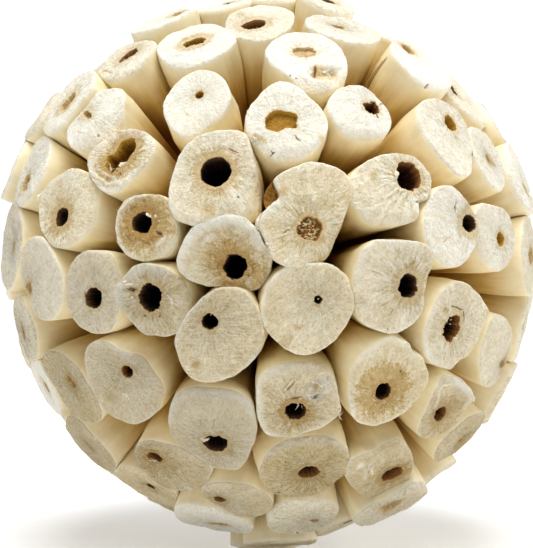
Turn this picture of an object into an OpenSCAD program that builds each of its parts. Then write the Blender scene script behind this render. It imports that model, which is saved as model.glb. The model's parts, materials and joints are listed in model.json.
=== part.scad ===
/* [Ball] */
// Diameter over the cut ends of the sticks
ball_d = 100; // [84:1:140]
// Diameter of the round core that carries the sticks
core_d = 40; // [24:1:50]

/* [Sticks] */
// Diameter of an ordinary stick
stick_d = 14; // [10:0.5:17]
// Clearance that the glue fills between a stick and the core
glue_line = 0.1; // [0.05:0.05:0.3]
// Clearance between neighbouring sticks where they press together
press_line = 0.1; // [0.05:0.05:0.3]
// Number of places on the far side that the rule tries
far_places = 80; // [70:1:90]
// Unevenness of the far side, in degrees
far_shift = 1.5; // [0:0.5:3]
// Fullness of the narrowing inner part, where more leaves narrower hollows between
fullness = 1.14; // [1.05:0.01:1.3]

/* [Pith] */
// Diameter of an ordinary pith channel
pith_d = 3.6; // [2:0.1:5]
// Wood left between an ordinary pith channel and the core
pith_floor = 12; // [8:1:20]

/* [Cut ends] */
// Unevenness of the cut ends over the ball's round, as listed at 1
end_spread = 1; // [0:0.1:1.4]
// How much shorter the sticks are at the ball's flatter lower left
flat_side = 2; // [0:0.1:3]
// How far the level resting end stands below the ball's round
rest_drop = 2.2; // [1.6:0.1:3]

/* [Hidden] */
ball_r = ball_d / 2;
core_r = core_d / 2;
stick_r = stick_d / 2;
WIDTH_STEP = 45;        // degrees between two half-widths of a stick
OUTLINE_STEP = 12;      // degrees between two corners of a stick's outline
ROOM_STEP = 36;         // degrees between two corners of its narrowing inner part
NEAR = 34;              // degrees within which sticks can press together
OVER = 6;               // how far blanks stand proud before their ends are cut
TRIM = 2;               // how far blanks run into the core before they are seated
PITH_FN = 36;
CORE_FN = 96;

// Places in a row of the stick list
NAME = 0;    // node
AT = 1;      // azimuth from the front to the right, elevation; degrees
RISE = 2;    // how far the cut end stands over the ball's radius; mm
WIDTHS = 3;  // half-widths from the right, anticlockwise; hundredths of stick_r
PITH = 4;    // right and up, in hundredths of stick_r; across and extra length, in
             // hundredths of pith_d; turn; depth, in hundredths of an ordinary one's
CUT = 5;     // how far the cut end faces to the right and up; degrees; left out if square

STICKS = [
    // top
    ["top_stick_1", [-52.5, 63], 1.2, [105, 100, 95, 100, 105, 100, 95, 100], [20, 30, 80, 0, 0, 60], [0, -3]],
    ["rear_top_sticks", [-36, 73], 0.5, [90, 95, 100, 95, 90, 95, 100, 95], [0, 30, 70, 0, 0, 60]],
    ["top_stick_2", [-3, 60], 0, [85, 105, 110, 100, 85, 95, 105, 90], [-15, -10, 90, 25, 25, 100], [0, -4]],
    ["top_stick_3", [30.5, 58], 0, [105, 100, 90, 95, 105, 100, 90, 95], [0, 25, 36, 35, -20, 40]],
    ["high_stick_1", [-48.5, 48.5], 0, [105, 85, 85, 110, 105, 85, 85, 105], [-10, 15, 85, 30, 60, 100]],
    ["high_stick_2", [-23.5, 51.5], 0, [110, 90, 105, 110, 105, 95, 105, 110], [-5, 5, 60, 50, 20, 50]],
    ["high_stick_3", [11.5, 45.5], 0, [95, 105, 110, 105, 105, 90, 110, 105], [-5, 30, 70, 45, 10, 20]],
    ["high_stick_4", [48.5, 45], 1, [110, 105, 100, 90, 100, 100, 95, 95], [5, 60, 75, 0, 0, 50]],
    // upper
    ["upper_stick_1", [-57.5, 35.5], 1, [100, 100, 105, 110, 105, 100, 100, 105], [0, 0, 95, 15, 90, 30]],
    ["upper_stick_2", [-43.5, 31.5], 0, [85, 95, 90, 95, 90, 95, 90, 80], [-35, 10, 28, 60, -30, 30]],
    ["upper_stick_3", [-16, 33.5], 0, [90, 90, 100, 95, 85, 90, 100, 90], [0, 25, 40, 0, 0, 30]],
    ["upper_stick_4", [4, 29], 0, [100, 90, 115, 95, 95, 95, 105, 100], [-10, 0, 90, 50, 0, 25]],
    ["upper_stick_5", [21.5, 31.5], 0, [75, 75, 80, 80, 85, 80, 70, 80], [30, 15, 75, 0, 0, 100]],
    ["upper_stick_6", [44, 27], 0, [95, 110, 110, 105, 95, 90, 115, 85], [30, 40, 72, 15, 110, 40]],
    ["rear_upper_sticks", [68, 39], -0.5, [90, 95, 95, 90, 90, 95, 95, 90], [-30, 30, 80, 0, 0, 50]],
    // middle, above
    ["middle_stick_1", [-63, 20.5], 0, [105, 105, 95, 100, 105, 100, 95, 105], [-15, -30, 75, 20, 90, 30]],
    ["middle_stick_2", [-44, 12], 0, [95, 95, 100, 105, 105, 90, 95, 105], [-10, -20, 90, 0, 0, 100]],
    ["middle_stick_3", [-31, 21.5], 0, [90, 85, 80, 80, 95, 85, 80, 75], [0, 15, 90, 50, 75, 70]],
    ["middle_stick_4", [-10, 18], 0, [100, 105, 105, 110, 105, 105, 100, 110], [0, 5, 138, 0, 0, 100]],
    ["middle_stick_5", [7.5, 10.5], 0, [100, 130, 120, 100, 100, 120, 120, 95], [5, -35, 110, 0, 0, 6]],
    ["middle_stick_6", [25, 16], 0, [110, 115, 85, 85, 105, 105, 90, 85], [50, 25, 125, 20, 90, 100]],
    ["middle_stick_7", [57, 23], 0, [80, 85, 90, 85, 80, 85, 90, 80], [10, 0, 28, 20, 90, 30]],
    ["middle_stick_8", [72, 19], 1, [100, 100, 100, 100, 100, 100, 100, 100], [30, -30, 70, 0, 0, 50]],
    // middle, at the ball's waist
    ["waist_stick_1", [-68, 5], -0.5, [100, 105, 115, 105, 100, 105, 115, 105], [20, 0, 36, 20, 90, 30]],
    ["waist_stick_2", [-50, -1.5], 0, [90, 80, 100, 110, 90, 80, 105, 105], [-60, -25, 36, 20, 90, 30]],
    ["waist_stick_3", [-35, -4.5], 0, [80, 85, 100, 90, 85, 85, 95, 95], [0, -10, 98, 0, 0, 100]],
    ["waist_stick_4", [-23.5, 8.5], 0, [75, 80, 75, 80, 80, 80, 75, 80], [-10, 5, 98, 5, 0, 100]],
    ["waist_stick_5", [-21.5, -5.5], 0, [90, 85, 85, 95, 95, 85, 85, 95], [-10, 5, 108, 17, 90, 100]],
    ["waist_stick_6", [-7.5, 3], 0, [100, 90, 85, 90, 105, 90, 75, 100], [20, -30, 100, 10, 90, 75]],
    ["waist_stick_7", [7, -6.5], 0, [105, 110, 100, 105, 105, 105, 115, 100], [30, 13, 36, 0, 0, 100]],
    ["waist_stick_8", [24.5, -2.5], 0, [90, 120, 100, 105, 100, 105, 115, 105], [35, -5, 90, 18, 90, 100]],
    ["waist_stick_9", [38, 8], 0, [100, 90, 105, 90, 90, 95, 95, 85], [65, 12, 82, 0, 0, 65]],
    ["waist_stick_10", [52, 6.5], 0, [95, 90, 80, 100, 80, 85, 85, 85], [25, -5, 65, 0, 0, 50]],
    ["waist_stick_11", [71, 3], 0, [90, 100, 105, 95, 90, 100, 105, 95], [30, 0, 90, 0, 0, 50]],
    // middle, below
    ["lower_stick_1", [-65.5, -12.5], -1.5, [85, 85, 85, 85, 85, 85, 85, 85], [-30, -10, 30, 40, 90, 30]],
    ["lower_stick_2", [-68, -26], -2, [85, 85, 85, 85, 85, 85, 85, 85], [10, 0, 30, 30, 90, 30]],
    ["lower_stick_3", [-51, -25], -2, [85, 85, 95, 115, 90, 85, 95, 115], [0, 15, 55, 20, 110, 60]],
    ["lower_stick_4", [-31.5, -22], 0, [90, 90, 105, 105, 95, 95, 105, 110], [25, 30, 57, 0, 0, 60]],
    ["lower_stick_5", [-8.5, -12.5], 0, [100, 120, 115, 90, 100, 125, 110, 95], [-27, 37, 72, 0, 0, 100]],
    ["lower_stick_6", [6, -25], 0, [105, 105, 90, 105, 90, 110, 100, 90], [0, -30, 85, 8, 0, 100]],
    ["lower_stick_7", [24.5, -21.5], 0, [120, 105, 115, 120, 105, 110, 115, 110], [0, -25, 80, 5, 90, 100]],
    ["lower_stick_8", [39.5, -10.5], 0, [115, 105, 105, 110, 100, 110, 110, 100], [-5, -10, 100, 15, 80, 100]],
    ["lower_stick_9", [56.5, -16.5], 0, [85, 80, 90, 110, 85, 80, 95, 100], [60, -35, 45, 0, 0, 40]],
    ["lower_stick_10", [44, -28.5], 0, [95, 80, 85, 115, 75, 95, 90, 100], [-12, -12, 75, 5, 0, 60]],
    // low
    ["low_stick_1", [-60.5, -41], -1.8, [95, 95, 95, 95, 95, 95, 95, 95], [0, 0, 40, 0, 0, 40]],
    ["low_stick_2", [-25.5, -41.5], 0, [105, 85, 85, 100, 90, 95, 95, 90], [-37, 28, 72, 0, 0, 100]],
    ["low_stick_3", [-12.5, -32], 0, [95, 105, 105, 115, 100, 95, 115, 105], [5, -37, 83, 30, 0, 100]],
    ["low_stick_4", [9, -41.5], 0, [115, 120, 95, 105, 115, 115, 110, 100], [20, -20, 78, 20, 10, 100]],
    ["low_stick_5", [34, -44], 0, [100, 85, 105, 110, 105, 90, 95, 130], [33, -13, 92, 18, 35, 100]],
    ["low_stick_6", [60.5, -37], -0.5, [110, 95, 80, 85, 110, 95, 80, 85], [35, -15, 50, 40, -20, 60]],
    // bottom
    ["bottom_stick_1", [-25, -63], 0, [100, 90, 95, 105, 100, 90, 95, 105], [0, -30, 50, 50, 0, 60]],
    ["bottom_stick_2", [-9.5, -52], 0, [85, 75, 85, 100, 80, 65, 85, 95], [-45, -5, 42, 15, -35, 60]],
    ["bottom_stick_3", [13.5, -60], 0, [95, 105, 110, 115, 85, 95, 115, 110], [45, -30, 40, 0, 0, 40]],
    ["bottom_stick_4", [46.5, -54], 1.7, [115, 105, 100, 100, 115, 105, 100, 100], [0, 0, 110, 10, 0, 70]],
    // round the rim
    ["rear_top_sticks", [45.5, 73], 2, [100, 95, 90, 90, 100, 95, 90, 90], [0, 0, 95, 0, 0, 100], [0, -12]],
    ["rear_top_sticks", [65.5, 63], -1, [90, 90, 90, 90, 90, 90, 90, 90], [0, 0, 40, 30, 30, 40]],
    ["rear_top_sticks", [5.5, 80], 1, [100, 100, 90, 90, 100, 95, 90, 95], [0, 0, 90, 0, 0, 50]],
    ["rear_upper_sticks", [78.5, 31], 0.7, [85, 90, 90, 85, 85, 90, 90, 85], [0, 0, 60, 30, 0, 50]],
    ["rear_middle_sticks", [77.5, -12.5], -0.5, [90, 95, 100, 95, 90, 95, 100, 95], [0, 0, 80, 0, 0, 50]],
    ["rear_lower_sticks", [78.5, -27.5], 0, [90, 95, 95, 95, 90, 95, 95, 90], [0, 0, 80, 0, 0, 50]],
    ["rear_lower_sticks", [74, -51.5], 0, [95, 95, 95, 95, 95, 95, 95, 95], [0, 0, 80, 0, 0, 50]],
    ["rear_upper_sticks", [-80, 22.5], 1.2, [95, 95, 100, 95, 95, 95, 100, 95], [0, 0, 80, 0, 0, 50]],
    ["rear_upper_sticks", [-77, 33.5], 1.5, [90, 85, 85, 90, 90, 85, 85, 90], [0, 0, 60, 0, 0, 50]],
    ["rear_lower_sticks", [-50.5, -54], -2, [100, 95, 95, 100, 100, 95, 95, 100], [20, 0, 50, 0, 0, 40]],
    ["rear_bottom_sticks", [13, -76.5], 1.5, [100, 100, 95, 95, 100, 100, 95, 95], [0, 0, 70, 0, 0, 50]]
];

// Further hollows in some ends, written like a stick's pith
HOLES = [
    ["middle_stick_3", [-28, -12, 40, 55, 110, 15]],
    ["middle_stick_5", [-97, 44, 135, 20, 60, 60]]
];

// The stick that the ball rests on: it points straight down and is cut level
REST = ["rest_stick", [0, -90], 0, [100, 95, 100, 105, 100, 95, 100, 105], [25, 15, 80, 0, 0, 60]];

// The far side is filled by a rule: a spiral of places round the far pole is kept
// where the listed sticks leave room, and its sticks then crowd each other apart
FAR_CAP = 105;          // degrees from the far pole that the spiral reaches
FAR_ROOM = 10;          // degrees to the nearest listed stick that a place needs
TURN = 137.5;           // degrees from one place of the spiral to the next
CROWD_STEPS = 10;
CROWD_SPACING = 0.29;   // spacing at which they stop crowding, at unit radius
CROWD_REACH = 0.6;      // how far they crowd, at unit radius
CROWD_PACE = 0.35;
CROWD_STRIDE = 0.06;    // the most that one moves in a step
SEED = 21;
FLAT_AT = [-90, -32];   // where the ball is flatter

function dir(at) = [cos(at[1]) * sin(at[0]), -cos(at[1]) * cos(at[0]), sin(at[1])];
function place(u) = [atan2(u[0], -u[1]), asin(u[2])];
function right(at) = [cos(at[0]), sin(at[0]), 0];
function up(at) = cross(dir(at), right(at));
function apart(a, b) = acos(min(1, max(-1, a * b)));
function unit(v) = v / norm(v);

LISTED = concat(STICKS, [REST]);
LISTED_DIRS = [for (s = LISTED) dir(s[AT])];

function spiral(i) =
    let (psi = acos(1 - (i + 0.5) / far_places * (1 - cos(FAR_CAP))), phi = i * TURN)
    [sin(psi) * cos(phi), cos(psi), sin(psi) * sin(phi)];
function pushes(u, others) =
    [for (v = others)
        let (way = u - v, gap = norm(way))
        if (gap > 0.001 && gap < CROWD_REACH) way * pow(CROWD_SPACING / max(gap, 0.05), 5)];
function total(list) = [for (v = list) 1] * list;
function stride(push) = push * min(CROWD_PACE, CROWD_STRIDE / max(norm(push), 0.001));
function crowd(dirs, steps) =
    steps == 0 ? dirs
    : let (all = concat(LISTED_DIRS, dirs))
      crowd([for (u = dirs) unit(u + stride(total(pushes(u, all))))], steps - 1);

FAR_DIRS = crowd([for (i = [0:far_places - 1])
    let (u = spiral(i))
    if (min([for (v = LISTED_DIRS) apart(u, v)]) > FAR_ROOM) u], CROWD_STEPS);

shake = rands(-1, 1, len(FAR_DIRS) * 16, SEED);
function jolt(i, k) = shake[i * 16 + k];
function far_group(el) =
    el > 55 ? "rear_top_sticks" : el > 20 ? "rear_upper_sticks" : el > -20 ? "rear_middle_sticks"
    : el > -55 ? "rear_lower_sticks" : "rear_bottom_sticks";
function far_widths(i) =
    let (lean = 180 * jolt(i, 2))
    [for (k = [0:7]) 100 + 7 * cos(2 * (45 * k - lean)) + 6 * jolt(i, 3 + k % 4)];
function far_stick(i) =
    let (u = FAR_DIRS[i],
         spot = place(u),
         at = spot + far_shift * [jolt(i, 0) / max(0.2, cos(spot[1])), jolt(i, 1)])
    [far_group(at[1]), at,
     0.5 * jolt(i, 7) - 0.3 - flat_side * pow(max(0, u * dir(FLAT_AT)), 4),
     far_widths(i),
     [30 * jolt(i, 8), 30 * jolt(i, 9), 85 + 30 * jolt(i, 10), 12 + 12 * jolt(i, 11), 180 * jolt(i, 12), 100],
     [3 * jolt(i, 13), 3 * jolt(i, 14)]];

ALL = concat(LISTED, [for (i = [0:len(FAR_DIRS) - 1]) far_stick(i)]);
DIRS = [for (s = ALL) dir(s[AT])];

// Half-width of a stick towards an angle, by a smooth curve through its eight
function blend(a, b, c, d, t) =
    b + t / 2 * (c - a + t * (2 * a - 5 * b + 4 * c - d + t * (3 * (b - c) + d - a)));
function half_width(s, angle) =
    let (turn = (angle % 360 + 360) % 360,
         k = floor(turn / WIDTH_STEP),
         w = s[WIDTHS])
    blend(w[(k + 7) % 8], w[k % 8], w[(k + 1) % 8], w[(k + 2) % 8], turn / WIDTH_STEP - k)
    / 100 * stick_r;
function outline(s) =
    [for (a = [0:OUTLINE_STEP:359]) half_width(s, a) * [cos(a), sin(a)]];

// The room a stick has: at unit height, the walls it shares with its neighbours.
// Each wall is [towards, distance], and lies between the two by their half-widths.
function toward(at, v) = atan2(v * up(at), v * right(at));
function wall(i, j) =
    let (at = ALL[i][AT],
         bt = ALL[j][AT],
         mine = half_width(ALL[i], toward(at, DIRS[j])),
         theirs = half_width(ALL[j], toward(bt, DIRS[i])))
    [toward(at, DIRS[j]), tan(apart(DIRS[i], DIRS[j]) * mine / (mine + theirs))];
function walls(i) =
    [for (j = [0:len(ALL) - 1]) if (j != i && apart(DIRS[i], DIRS[j]) < NEAR) wall(i, j)];

function depth_in(p, w) = w[1] - p[0] * cos(w[0]) - p[1] * sin(w[0]);
function cross_at(p, q, w) =
    let (a = depth_in(p, w), b = depth_in(q, w)) p + (q - p) * a / (a - b);
function clip(shape, w) =
    [for (k = [0:len(shape) - 1])
        let (p = shape[k], q = shape[(k + 1) % len(shape)],
             inside = depth_in(p, w) >= 0, next_inside = depth_in(q, w) >= 0)
        each concat(inside ? [p] : [], inside != next_inside ? [cross_at(p, q, w)] : [])];
function clip_all(shape, ws, k = 0) = k == len(ws) ? shape : clip_all(clip(shape, ws[k]), ws, k + 1);
function room(i) =
    clip_all([for (a = [0:ROOM_STEP:359])
        half_width(ALL[i], a) * fullness / ball_r * [cos(a), sin(a)]], walls(i));

function pith_depth(s) = reach(s) - core_r - pith_floor;
function cut(s) = s[CUT] == undef ? [0, 0] : s[CUT];
function reach(s) = ball_r + (s[NAME] == REST[NAME] ? rest_drop : s[RISE] * end_spread);

module aim(at) { rotate([90 - at[1], 0, at[0]]) children(); }

// A block with flat sides that narrows towards the ball's middle. Its point is
// lifted so that neighbours stay a press line apart.
module wedge(shape, low, high) {
    n = len(shape);
    lift = press_line * ball_r / stick_d;
    points = concat([for (p = shape) [p[0] * (low - lift), p[1] * (low - lift), low]],
                    [for (p = shape) [p[0] * (high - lift), p[1] * (high - lift), high]]);
    sides = [for (k = [0:n - 1]) [k, n + k, n + (k + 1) % n, (k + 1) % n]];
    polyhedron(points, concat([[for (k = [0:n - 1]) k], [for (k = [n - 1:-1:0]) n + k]], sides));
}

// What lies below the cut end
module below_cut(s) {
    side = 2 * stick_d;
    translate([0, 0, reach(s)])
        rotate([-cut(s)[1], cut(s)[0], 0])
            translate([-side / 2, -side / 2, -ball_r])
                cube([side, side, ball_r]);
}

// A pith channel that runs towards the ball's middle, round or drawn out
module channel(s, hole) {
    spot = [hole[0], hole[1]] * stick_r / 100;
    across = hole[2] / 100 * pith_d;
    extra = hole[3] / 100 * pith_d;
    depth = hole[5] / 100 * pith_depth(s);
    way = atan2(spot[1], spot[0]);
    out = norm([spot[0], spot[1], reach(s)]);
    rotate([0, atan2(norm(spot), reach(s)), way])
        rotate([0, 0, hole[4] - way])
            translate([0, 0, out - depth]) {
                for (e = [-1, 1])
                    translate([e * extra / 2, 0, 0])
                        cylinder(d = across, h = depth + OVER, $fn = PITH_FN);
                if (extra > 0)
                    translate([-extra / 2, -across / 2, 0])
                        cube([extra, across, depth + OVER]);
            }
}

module stick(i) {
    s = ALL[i];
    low = core_r - TRIM;
    high = reach(s) + OVER;
    aim(s[AT])
        difference() {
            intersection() {
                translate([0, 0, low])
                    linear_extrude(high - low)
                        polygon(outline(s));
                wedge(room(i), low, high);
                below_cut(s);
            }
            sphere(core_r + glue_line, $fn = CORE_FN);
            channel(s, s[PITH]);
            for (h = HOLES)
                if (h[0] == s[NAME])
                    channel(s, h[1]);
        }
}

module core() { color("tan") sphere(core_r, $fn = CORE_FN); }

module sticks(name) {
    color("oldlace")
        for (i = [0:len(ALL) - 1])
            if (ALL[i][NAME] == name)
                stick(i);
}

STICK_NODES = [for (i = [0:len(ALL) - 1])
    if (len([for (k = [0:1:i - 1]) if (ALL[k][NAME] == ALL[i][NAME]) 1]) == 0) ALL[i][NAME]];

core();
for (name = STICK_NODES)
    sticks(name);
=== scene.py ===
"""Ball of peeled pith-wood sticks: gives the sticks of the frame their sawn ends, soft rims,
pith channels, waxy sides and torn fibres, and sets them on a pale floor in soft light."""

import json
import math
from collections import namedtuple

import bmesh
import bpy
import numpy as np
from bpy.props import FloatProperty, FloatVectorProperty, PointerProperty
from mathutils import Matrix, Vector
from mathutils.bvhtree import BVHTree

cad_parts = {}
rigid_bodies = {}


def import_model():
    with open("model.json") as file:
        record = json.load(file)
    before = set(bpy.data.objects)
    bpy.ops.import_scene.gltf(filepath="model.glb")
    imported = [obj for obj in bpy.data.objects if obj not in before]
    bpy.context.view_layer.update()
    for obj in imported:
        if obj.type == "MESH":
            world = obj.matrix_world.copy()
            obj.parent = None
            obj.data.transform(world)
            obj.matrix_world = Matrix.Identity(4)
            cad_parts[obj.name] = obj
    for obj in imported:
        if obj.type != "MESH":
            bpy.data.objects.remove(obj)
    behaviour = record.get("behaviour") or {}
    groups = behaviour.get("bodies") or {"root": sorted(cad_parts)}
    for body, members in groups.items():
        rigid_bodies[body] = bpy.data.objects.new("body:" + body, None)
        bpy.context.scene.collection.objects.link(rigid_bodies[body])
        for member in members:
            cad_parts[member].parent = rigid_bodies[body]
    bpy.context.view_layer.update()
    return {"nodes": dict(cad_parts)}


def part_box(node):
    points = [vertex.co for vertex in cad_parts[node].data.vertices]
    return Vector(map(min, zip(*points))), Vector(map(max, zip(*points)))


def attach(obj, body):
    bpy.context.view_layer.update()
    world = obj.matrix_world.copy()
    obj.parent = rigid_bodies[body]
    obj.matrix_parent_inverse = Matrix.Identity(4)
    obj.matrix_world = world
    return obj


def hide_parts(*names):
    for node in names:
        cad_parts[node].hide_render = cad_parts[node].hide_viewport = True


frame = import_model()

bl_info = {
    "name": "Pith Wood Ball",
    "version": (1, 0, 0),
    "blender": (4, 5, 0),
    "location": "View3D > Sidebar > Pith Wood Ball",
    "description": "Finishes a ball of peeled pith-wood sticks",
    "category": "Object",
}

MM = 0.001
BODY = "root"
CORE_R = max(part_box("core")[1])
FLOOR_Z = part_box("rest_stick")[0][2]
GLUE_LINE = 0.1 * MM

TURN = 2 * math.pi

# Zones of a stick's surface, which are also its material slots
SAWN, PEELED, CHANNEL = 0, 1, 2


# ---------------------------------------------------------------- measures and noise

def srgb(red, green, blue):
    """A colour as a paint chart gives it, in the linear values that shaders take."""
    def linear(c):
        c /= 255
        return c / 12.92 if c <= 0.04045 else ((c + 0.055) / 1.055) ** 2.4
    return (linear(red), linear(green), linear(blue))


def unit(v):
    """A vector of length 1."""
    v = np.asarray(v, float)
    return v / np.linalg.norm(v)


def smooth(low, high, x):
    """0 below low, 1 above high, and a soft step between them."""
    t = np.clip((np.asarray(x, float) - low) / (high - low), 0, 1)
    return t * t * (3 - 2 * t)


def lattice(i, j, k, seed):
    """A value from -1 to 1 for each whole place in space, shuffled by odd multipliers."""
    h = (i.astype(np.uint32) * np.uint32(374761393) + j.astype(np.uint32) * np.uint32(668265263)
         + k.astype(np.uint32) * np.uint32(2246822519) + np.uint32(seed * 3266489917 & 0xFFFFFFFF))
    h = (h ^ (h >> np.uint32(13))) * np.uint32(1274126177)
    h = h ^ (h >> np.uint32(16))
    return (h & np.uint32(0xFFFF)).astype(float) / 32767.5 - 1


def noise(points, size, seed):
    """Smooth noise from -1 to 1, whose lumps are about size across; each use has its own seed."""
    p = np.asarray(points, float) / size + 1000
    cell = np.floor(p).astype(np.int64)
    t = p - cell
    t = t * t * (3 - 2 * t)
    total = 0
    for a in (0, 1):
        for b in (0, 1):
            for c in (0, 1):
                weight = (np.where(a, t[..., 0], 1 - t[..., 0])
                          * np.where(b, t[..., 1], 1 - t[..., 1])
                          * np.where(c, t[..., 2], 1 - t[..., 2]))
                total = total + weight * lattice(
                    cell[..., 0] + a, cell[..., 1] + b, cell[..., 2] + c, seed)
    return total


def rough(points, size, seed, octaves=3):
    """Noise with finer and finer lumps on it."""
    return sum(noise(points, size / 2 ** k, seed + 17 * k) / 2 ** k for k in range(octaves))


# ---------------------------------------------------------------- the sticks of the frame

def stacked(*columns):
    """Columns of numbers, or one number for all, as points."""
    return np.stack(np.broadcast_arrays(*columns), -1)


def islands(count, tris):
    """A label for each vertex, the same for all that hang together."""
    label = np.arange(count)
    while True:
        lowest = label[tris].min(1)
        new = label.copy()
        for corner in range(3):
            np.minimum.at(new, tris[:, corner], lowest)
        new = new[new]
        if (new == label).all():
            return label
        label = new


def loops_of(tris):
    """The closed edges of a patch of triangles, as lists of vertices."""
    edges = {(a, b) for t in tris for a, b in zip(t, np.roll(t, -1))}
    following = {}
    for a, b in edges:
        if (b, a) not in edges:
            following.setdefault(a, []).append(b)
    loops = []
    while following:
        start = next(iter(following))
        loop, at = [], start
        while at in following:
            loop.append(at)
            nxt = following[at].pop()
            if not following[at]:
                del following[at]
            at = nxt
        loops.append(loop)
    return loops


def area_and_centre(loop):
    """The area inside a closed line, and the middle of it."""
    x, y = loop[:, 0], loop[:, 1]
    nx, ny = np.roll(x, -1), np.roll(y, -1)
    slice_ = x * ny - nx * y
    area = slice_.sum() / 2
    return area, np.array([((x + nx) * slice_).sum(), ((y + ny) * slice_).sum()]) / (6 * area)


class Stick:
    """One solid of a node: its cut end, with the outline and the pith, and its sides.

    Places on the end are x to the right and y up, from its middle, for a look at it from
    outside; z stands up from the cut."""

    FLAT_WITHIN = 0.02 * MM
    FACES_END = 0.9
    SIDE_REACH = 14 * MM
    PITH_START = 2 * MM
    PITH_LEAST = 0.4 * MM

    def __init__(self, points, tris):
        corners = points[tris]
        facing = np.cross(corners[:, 1] - corners[:, 0], corners[:, 2] - corners[:, 0])
        size = np.linalg.norm(facing, axis=1)
        facing = facing / np.maximum(size, 1e-18)[:, None]
        axis = unit(points[np.unique(tris)].mean(0))
        outward = np.where(facing @ axis > self.FACES_END, size, 0)
        flats = []
        for seed in np.argsort(-outward)[:8]:
            height = corners @ facing[seed]
            flat = np.abs(height - height[seed].mean()).max(1) < self.FLAT_WITHIN
            flats.append((size[flat].sum(), seed, flat))
        _, seed, flat = max(flats, key=lambda f: f[0])
        self.normal = facing[seed]
        level = corners[seed].mean(0) @ self.normal
        loops = [points[loop] for loop in loops_of(tris[flat])]
        for _ in range(2):
            self.aim(axis)
            flats = [np.stack([loop @ self.right, loop @ self.up], -1) for loop in loops]
            flats.sort(key=lambda loop: -abs(area_and_centre(loop)[0]))
            middle = area_and_centre(flats[0])[1]
            at = self.right * middle[0] + self.up * middle[1]
            at = at + self.axis * (level - at @ self.normal) / (self.axis @ self.normal)
            axis = unit(at)
        self.middle = at
        flats = [np.stack([(loop - at) @ self.right, (loop - at) @ self.up], -1) for loop in loops]
        flats.sort(key=lambda loop: -abs(area_and_centre(loop)[0]))
        self.outline, self.pith = flats[0], flats[1]
        self.pith_at = area_and_centre(self.pith)[1]
        self.tree = BVHTree.FromPolygons([Vector(p) for p in points], [tuple(t) for t in tris])
        self.inward = -unit(self.place(*self.pith_at))
        spot = self.place(*self.pith_at) - self.inward * self.PITH_START
        hit = self.tree.ray_cast(Vector(spot), Vector(self.inward))
        self.pith_depth = max(self.PITH_LEAST, (hit[3] or 0) - self.PITH_START)
        self.seed = int(abs(at @ np.array([12989.8, 78233.0, 37719.0])) * 10) % 9973

    def aim(self, axis):
        """Turn the end's own directions to an axis."""
        self.axis = axis
        level = np.cross([0, 0, 1], axis)
        self.right = unit(level) if np.linalg.norm(level) > 0.01 else np.array([1.0, 0, 0])
        self.up = np.cross(axis, self.right)

    def place(self, x, y, z=0.0):
        """The point in space of a place on the end."""
        x, y, z = np.broadcast_arrays(x, y, z)
        lift = z - (x * (self.right @ self.normal) + y * (self.up @ self.normal)) / (
            self.axis @ self.normal)
        return (self.middle + x[..., None] * self.right + y[..., None] * self.up
                + lift[..., None] * self.axis)

    def width(self, way, below, start):
        """How far the side stands from the middle line, towards way, at a depth below the cut."""
        out = math.cos(way) * self.right + math.sin(way) * self.up
        centre = self.middle * (1 - below / np.linalg.norm(self.middle))
        hit = self.tree.ray_cast(Vector(centre + out * self.SIDE_REACH), Vector(-out))
        return start if hit[0] is None else self.SIDE_REACH - hit[3]


def read_sticks(node):
    """The sticks of a node, each from its own solid."""
    shell = bmesh.new()
    shell.from_mesh(frame["nodes"][node].data)
    bmesh.ops.remove_doubles(shell, verts=shell.verts, dist=1e-7)
    points = np.array([v.co[:] for v in shell.verts])
    tris = np.array([[v.index for v in f.verts] for f in shell.faces])
    shell.free()
    label = islands(len(points), tris)[tris[:, 0]]
    sticks = []
    for k in np.unique(label):
        used, own = np.unique(tris[label == k], return_inverse=True)
        sticks.append(Stick(points[used], own.reshape(-1, 3)))
    return sticks


# ---------------------------------------------------------------- peeling and sawing

def crossings(loop, centre, ways, last):
    """How far a loop is from a centre towards each way: its first or its last crossing."""
    a = loop - centre
    e = np.roll(a, -1, 0) - a
    d = np.stack([np.cos(ways), np.sin(ways)], -1)
    def cross(p, q):
        return p[..., 0] * q[..., 1] - p[..., 1] * q[..., 0]
    across = cross(d[:, None], e[None])
    across = np.where(np.abs(across) < 1e-12, 1e-12, across)
    r = cross(a, e)[None] / across
    s = cross(a[None], d[:, None]) / across
    ok = (s > -1e-6) & (s < 1 + 1e-6) & (r > 0)
    far = np.where(ok, r, -1).max(1)
    near = np.where(ok, r, 1).min(1)
    return far if last else np.where(near < 1, near, far)


def soften(values, steps):
    """Values round a circle, each smoothed over its neighbours within some steps."""
    if steps < 0.3:
        return values
    reach = int(math.ceil(3 * steps))
    weights = {k: math.exp(-(k / steps) ** 2 / 2) for k in range(-reach, reach + 1)}
    return sum(w * np.roll(values, k, 0) for k, w in weights.items()) / sum(weights.values())


def to_line(points, loop):
    """Distance of points from a closed line."""
    a, b = loop, np.roll(loop, -1, 0)
    e = b - a
    best = np.full(points.shape[:-1], 1.0)
    for k in range(len(a)):
        p = points - a[k]
        h = np.clip((p @ e[k]) / max(e[k] @ e[k], 1e-18), 0, 1)
        best = np.minimum(best, np.hypot(p[..., 0] - h * e[k, 0], p[..., 1] - h * e[k, 1]))
    return best


def through(points):
    """A smooth closed line through a few points."""
    before, after, beyond = np.roll(points, 1, 0), np.roll(points, -1, 0), np.roll(points, -2, 0)
    t = np.linspace(0, 1, 12, endpoint=False)[None, :, None]
    p0, p1, p2, p3 = (p[:, None] for p in (before, points, after, beyond))
    line = 0.5 * (2 * p1 + (p2 - p0) * t + (2 * p0 - 5 * p1 + 4 * p2 - p3) * t ** 2
                  + (3 * p1 - p0 - 3 * p2 + p3) * t ** 3)
    return line.reshape(-1, 2)


def turn_between(a, b):
    """The angle between two ways, whichever side is shorter."""
    return np.abs((a - b + math.pi) % TURN - math.pi)


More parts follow.
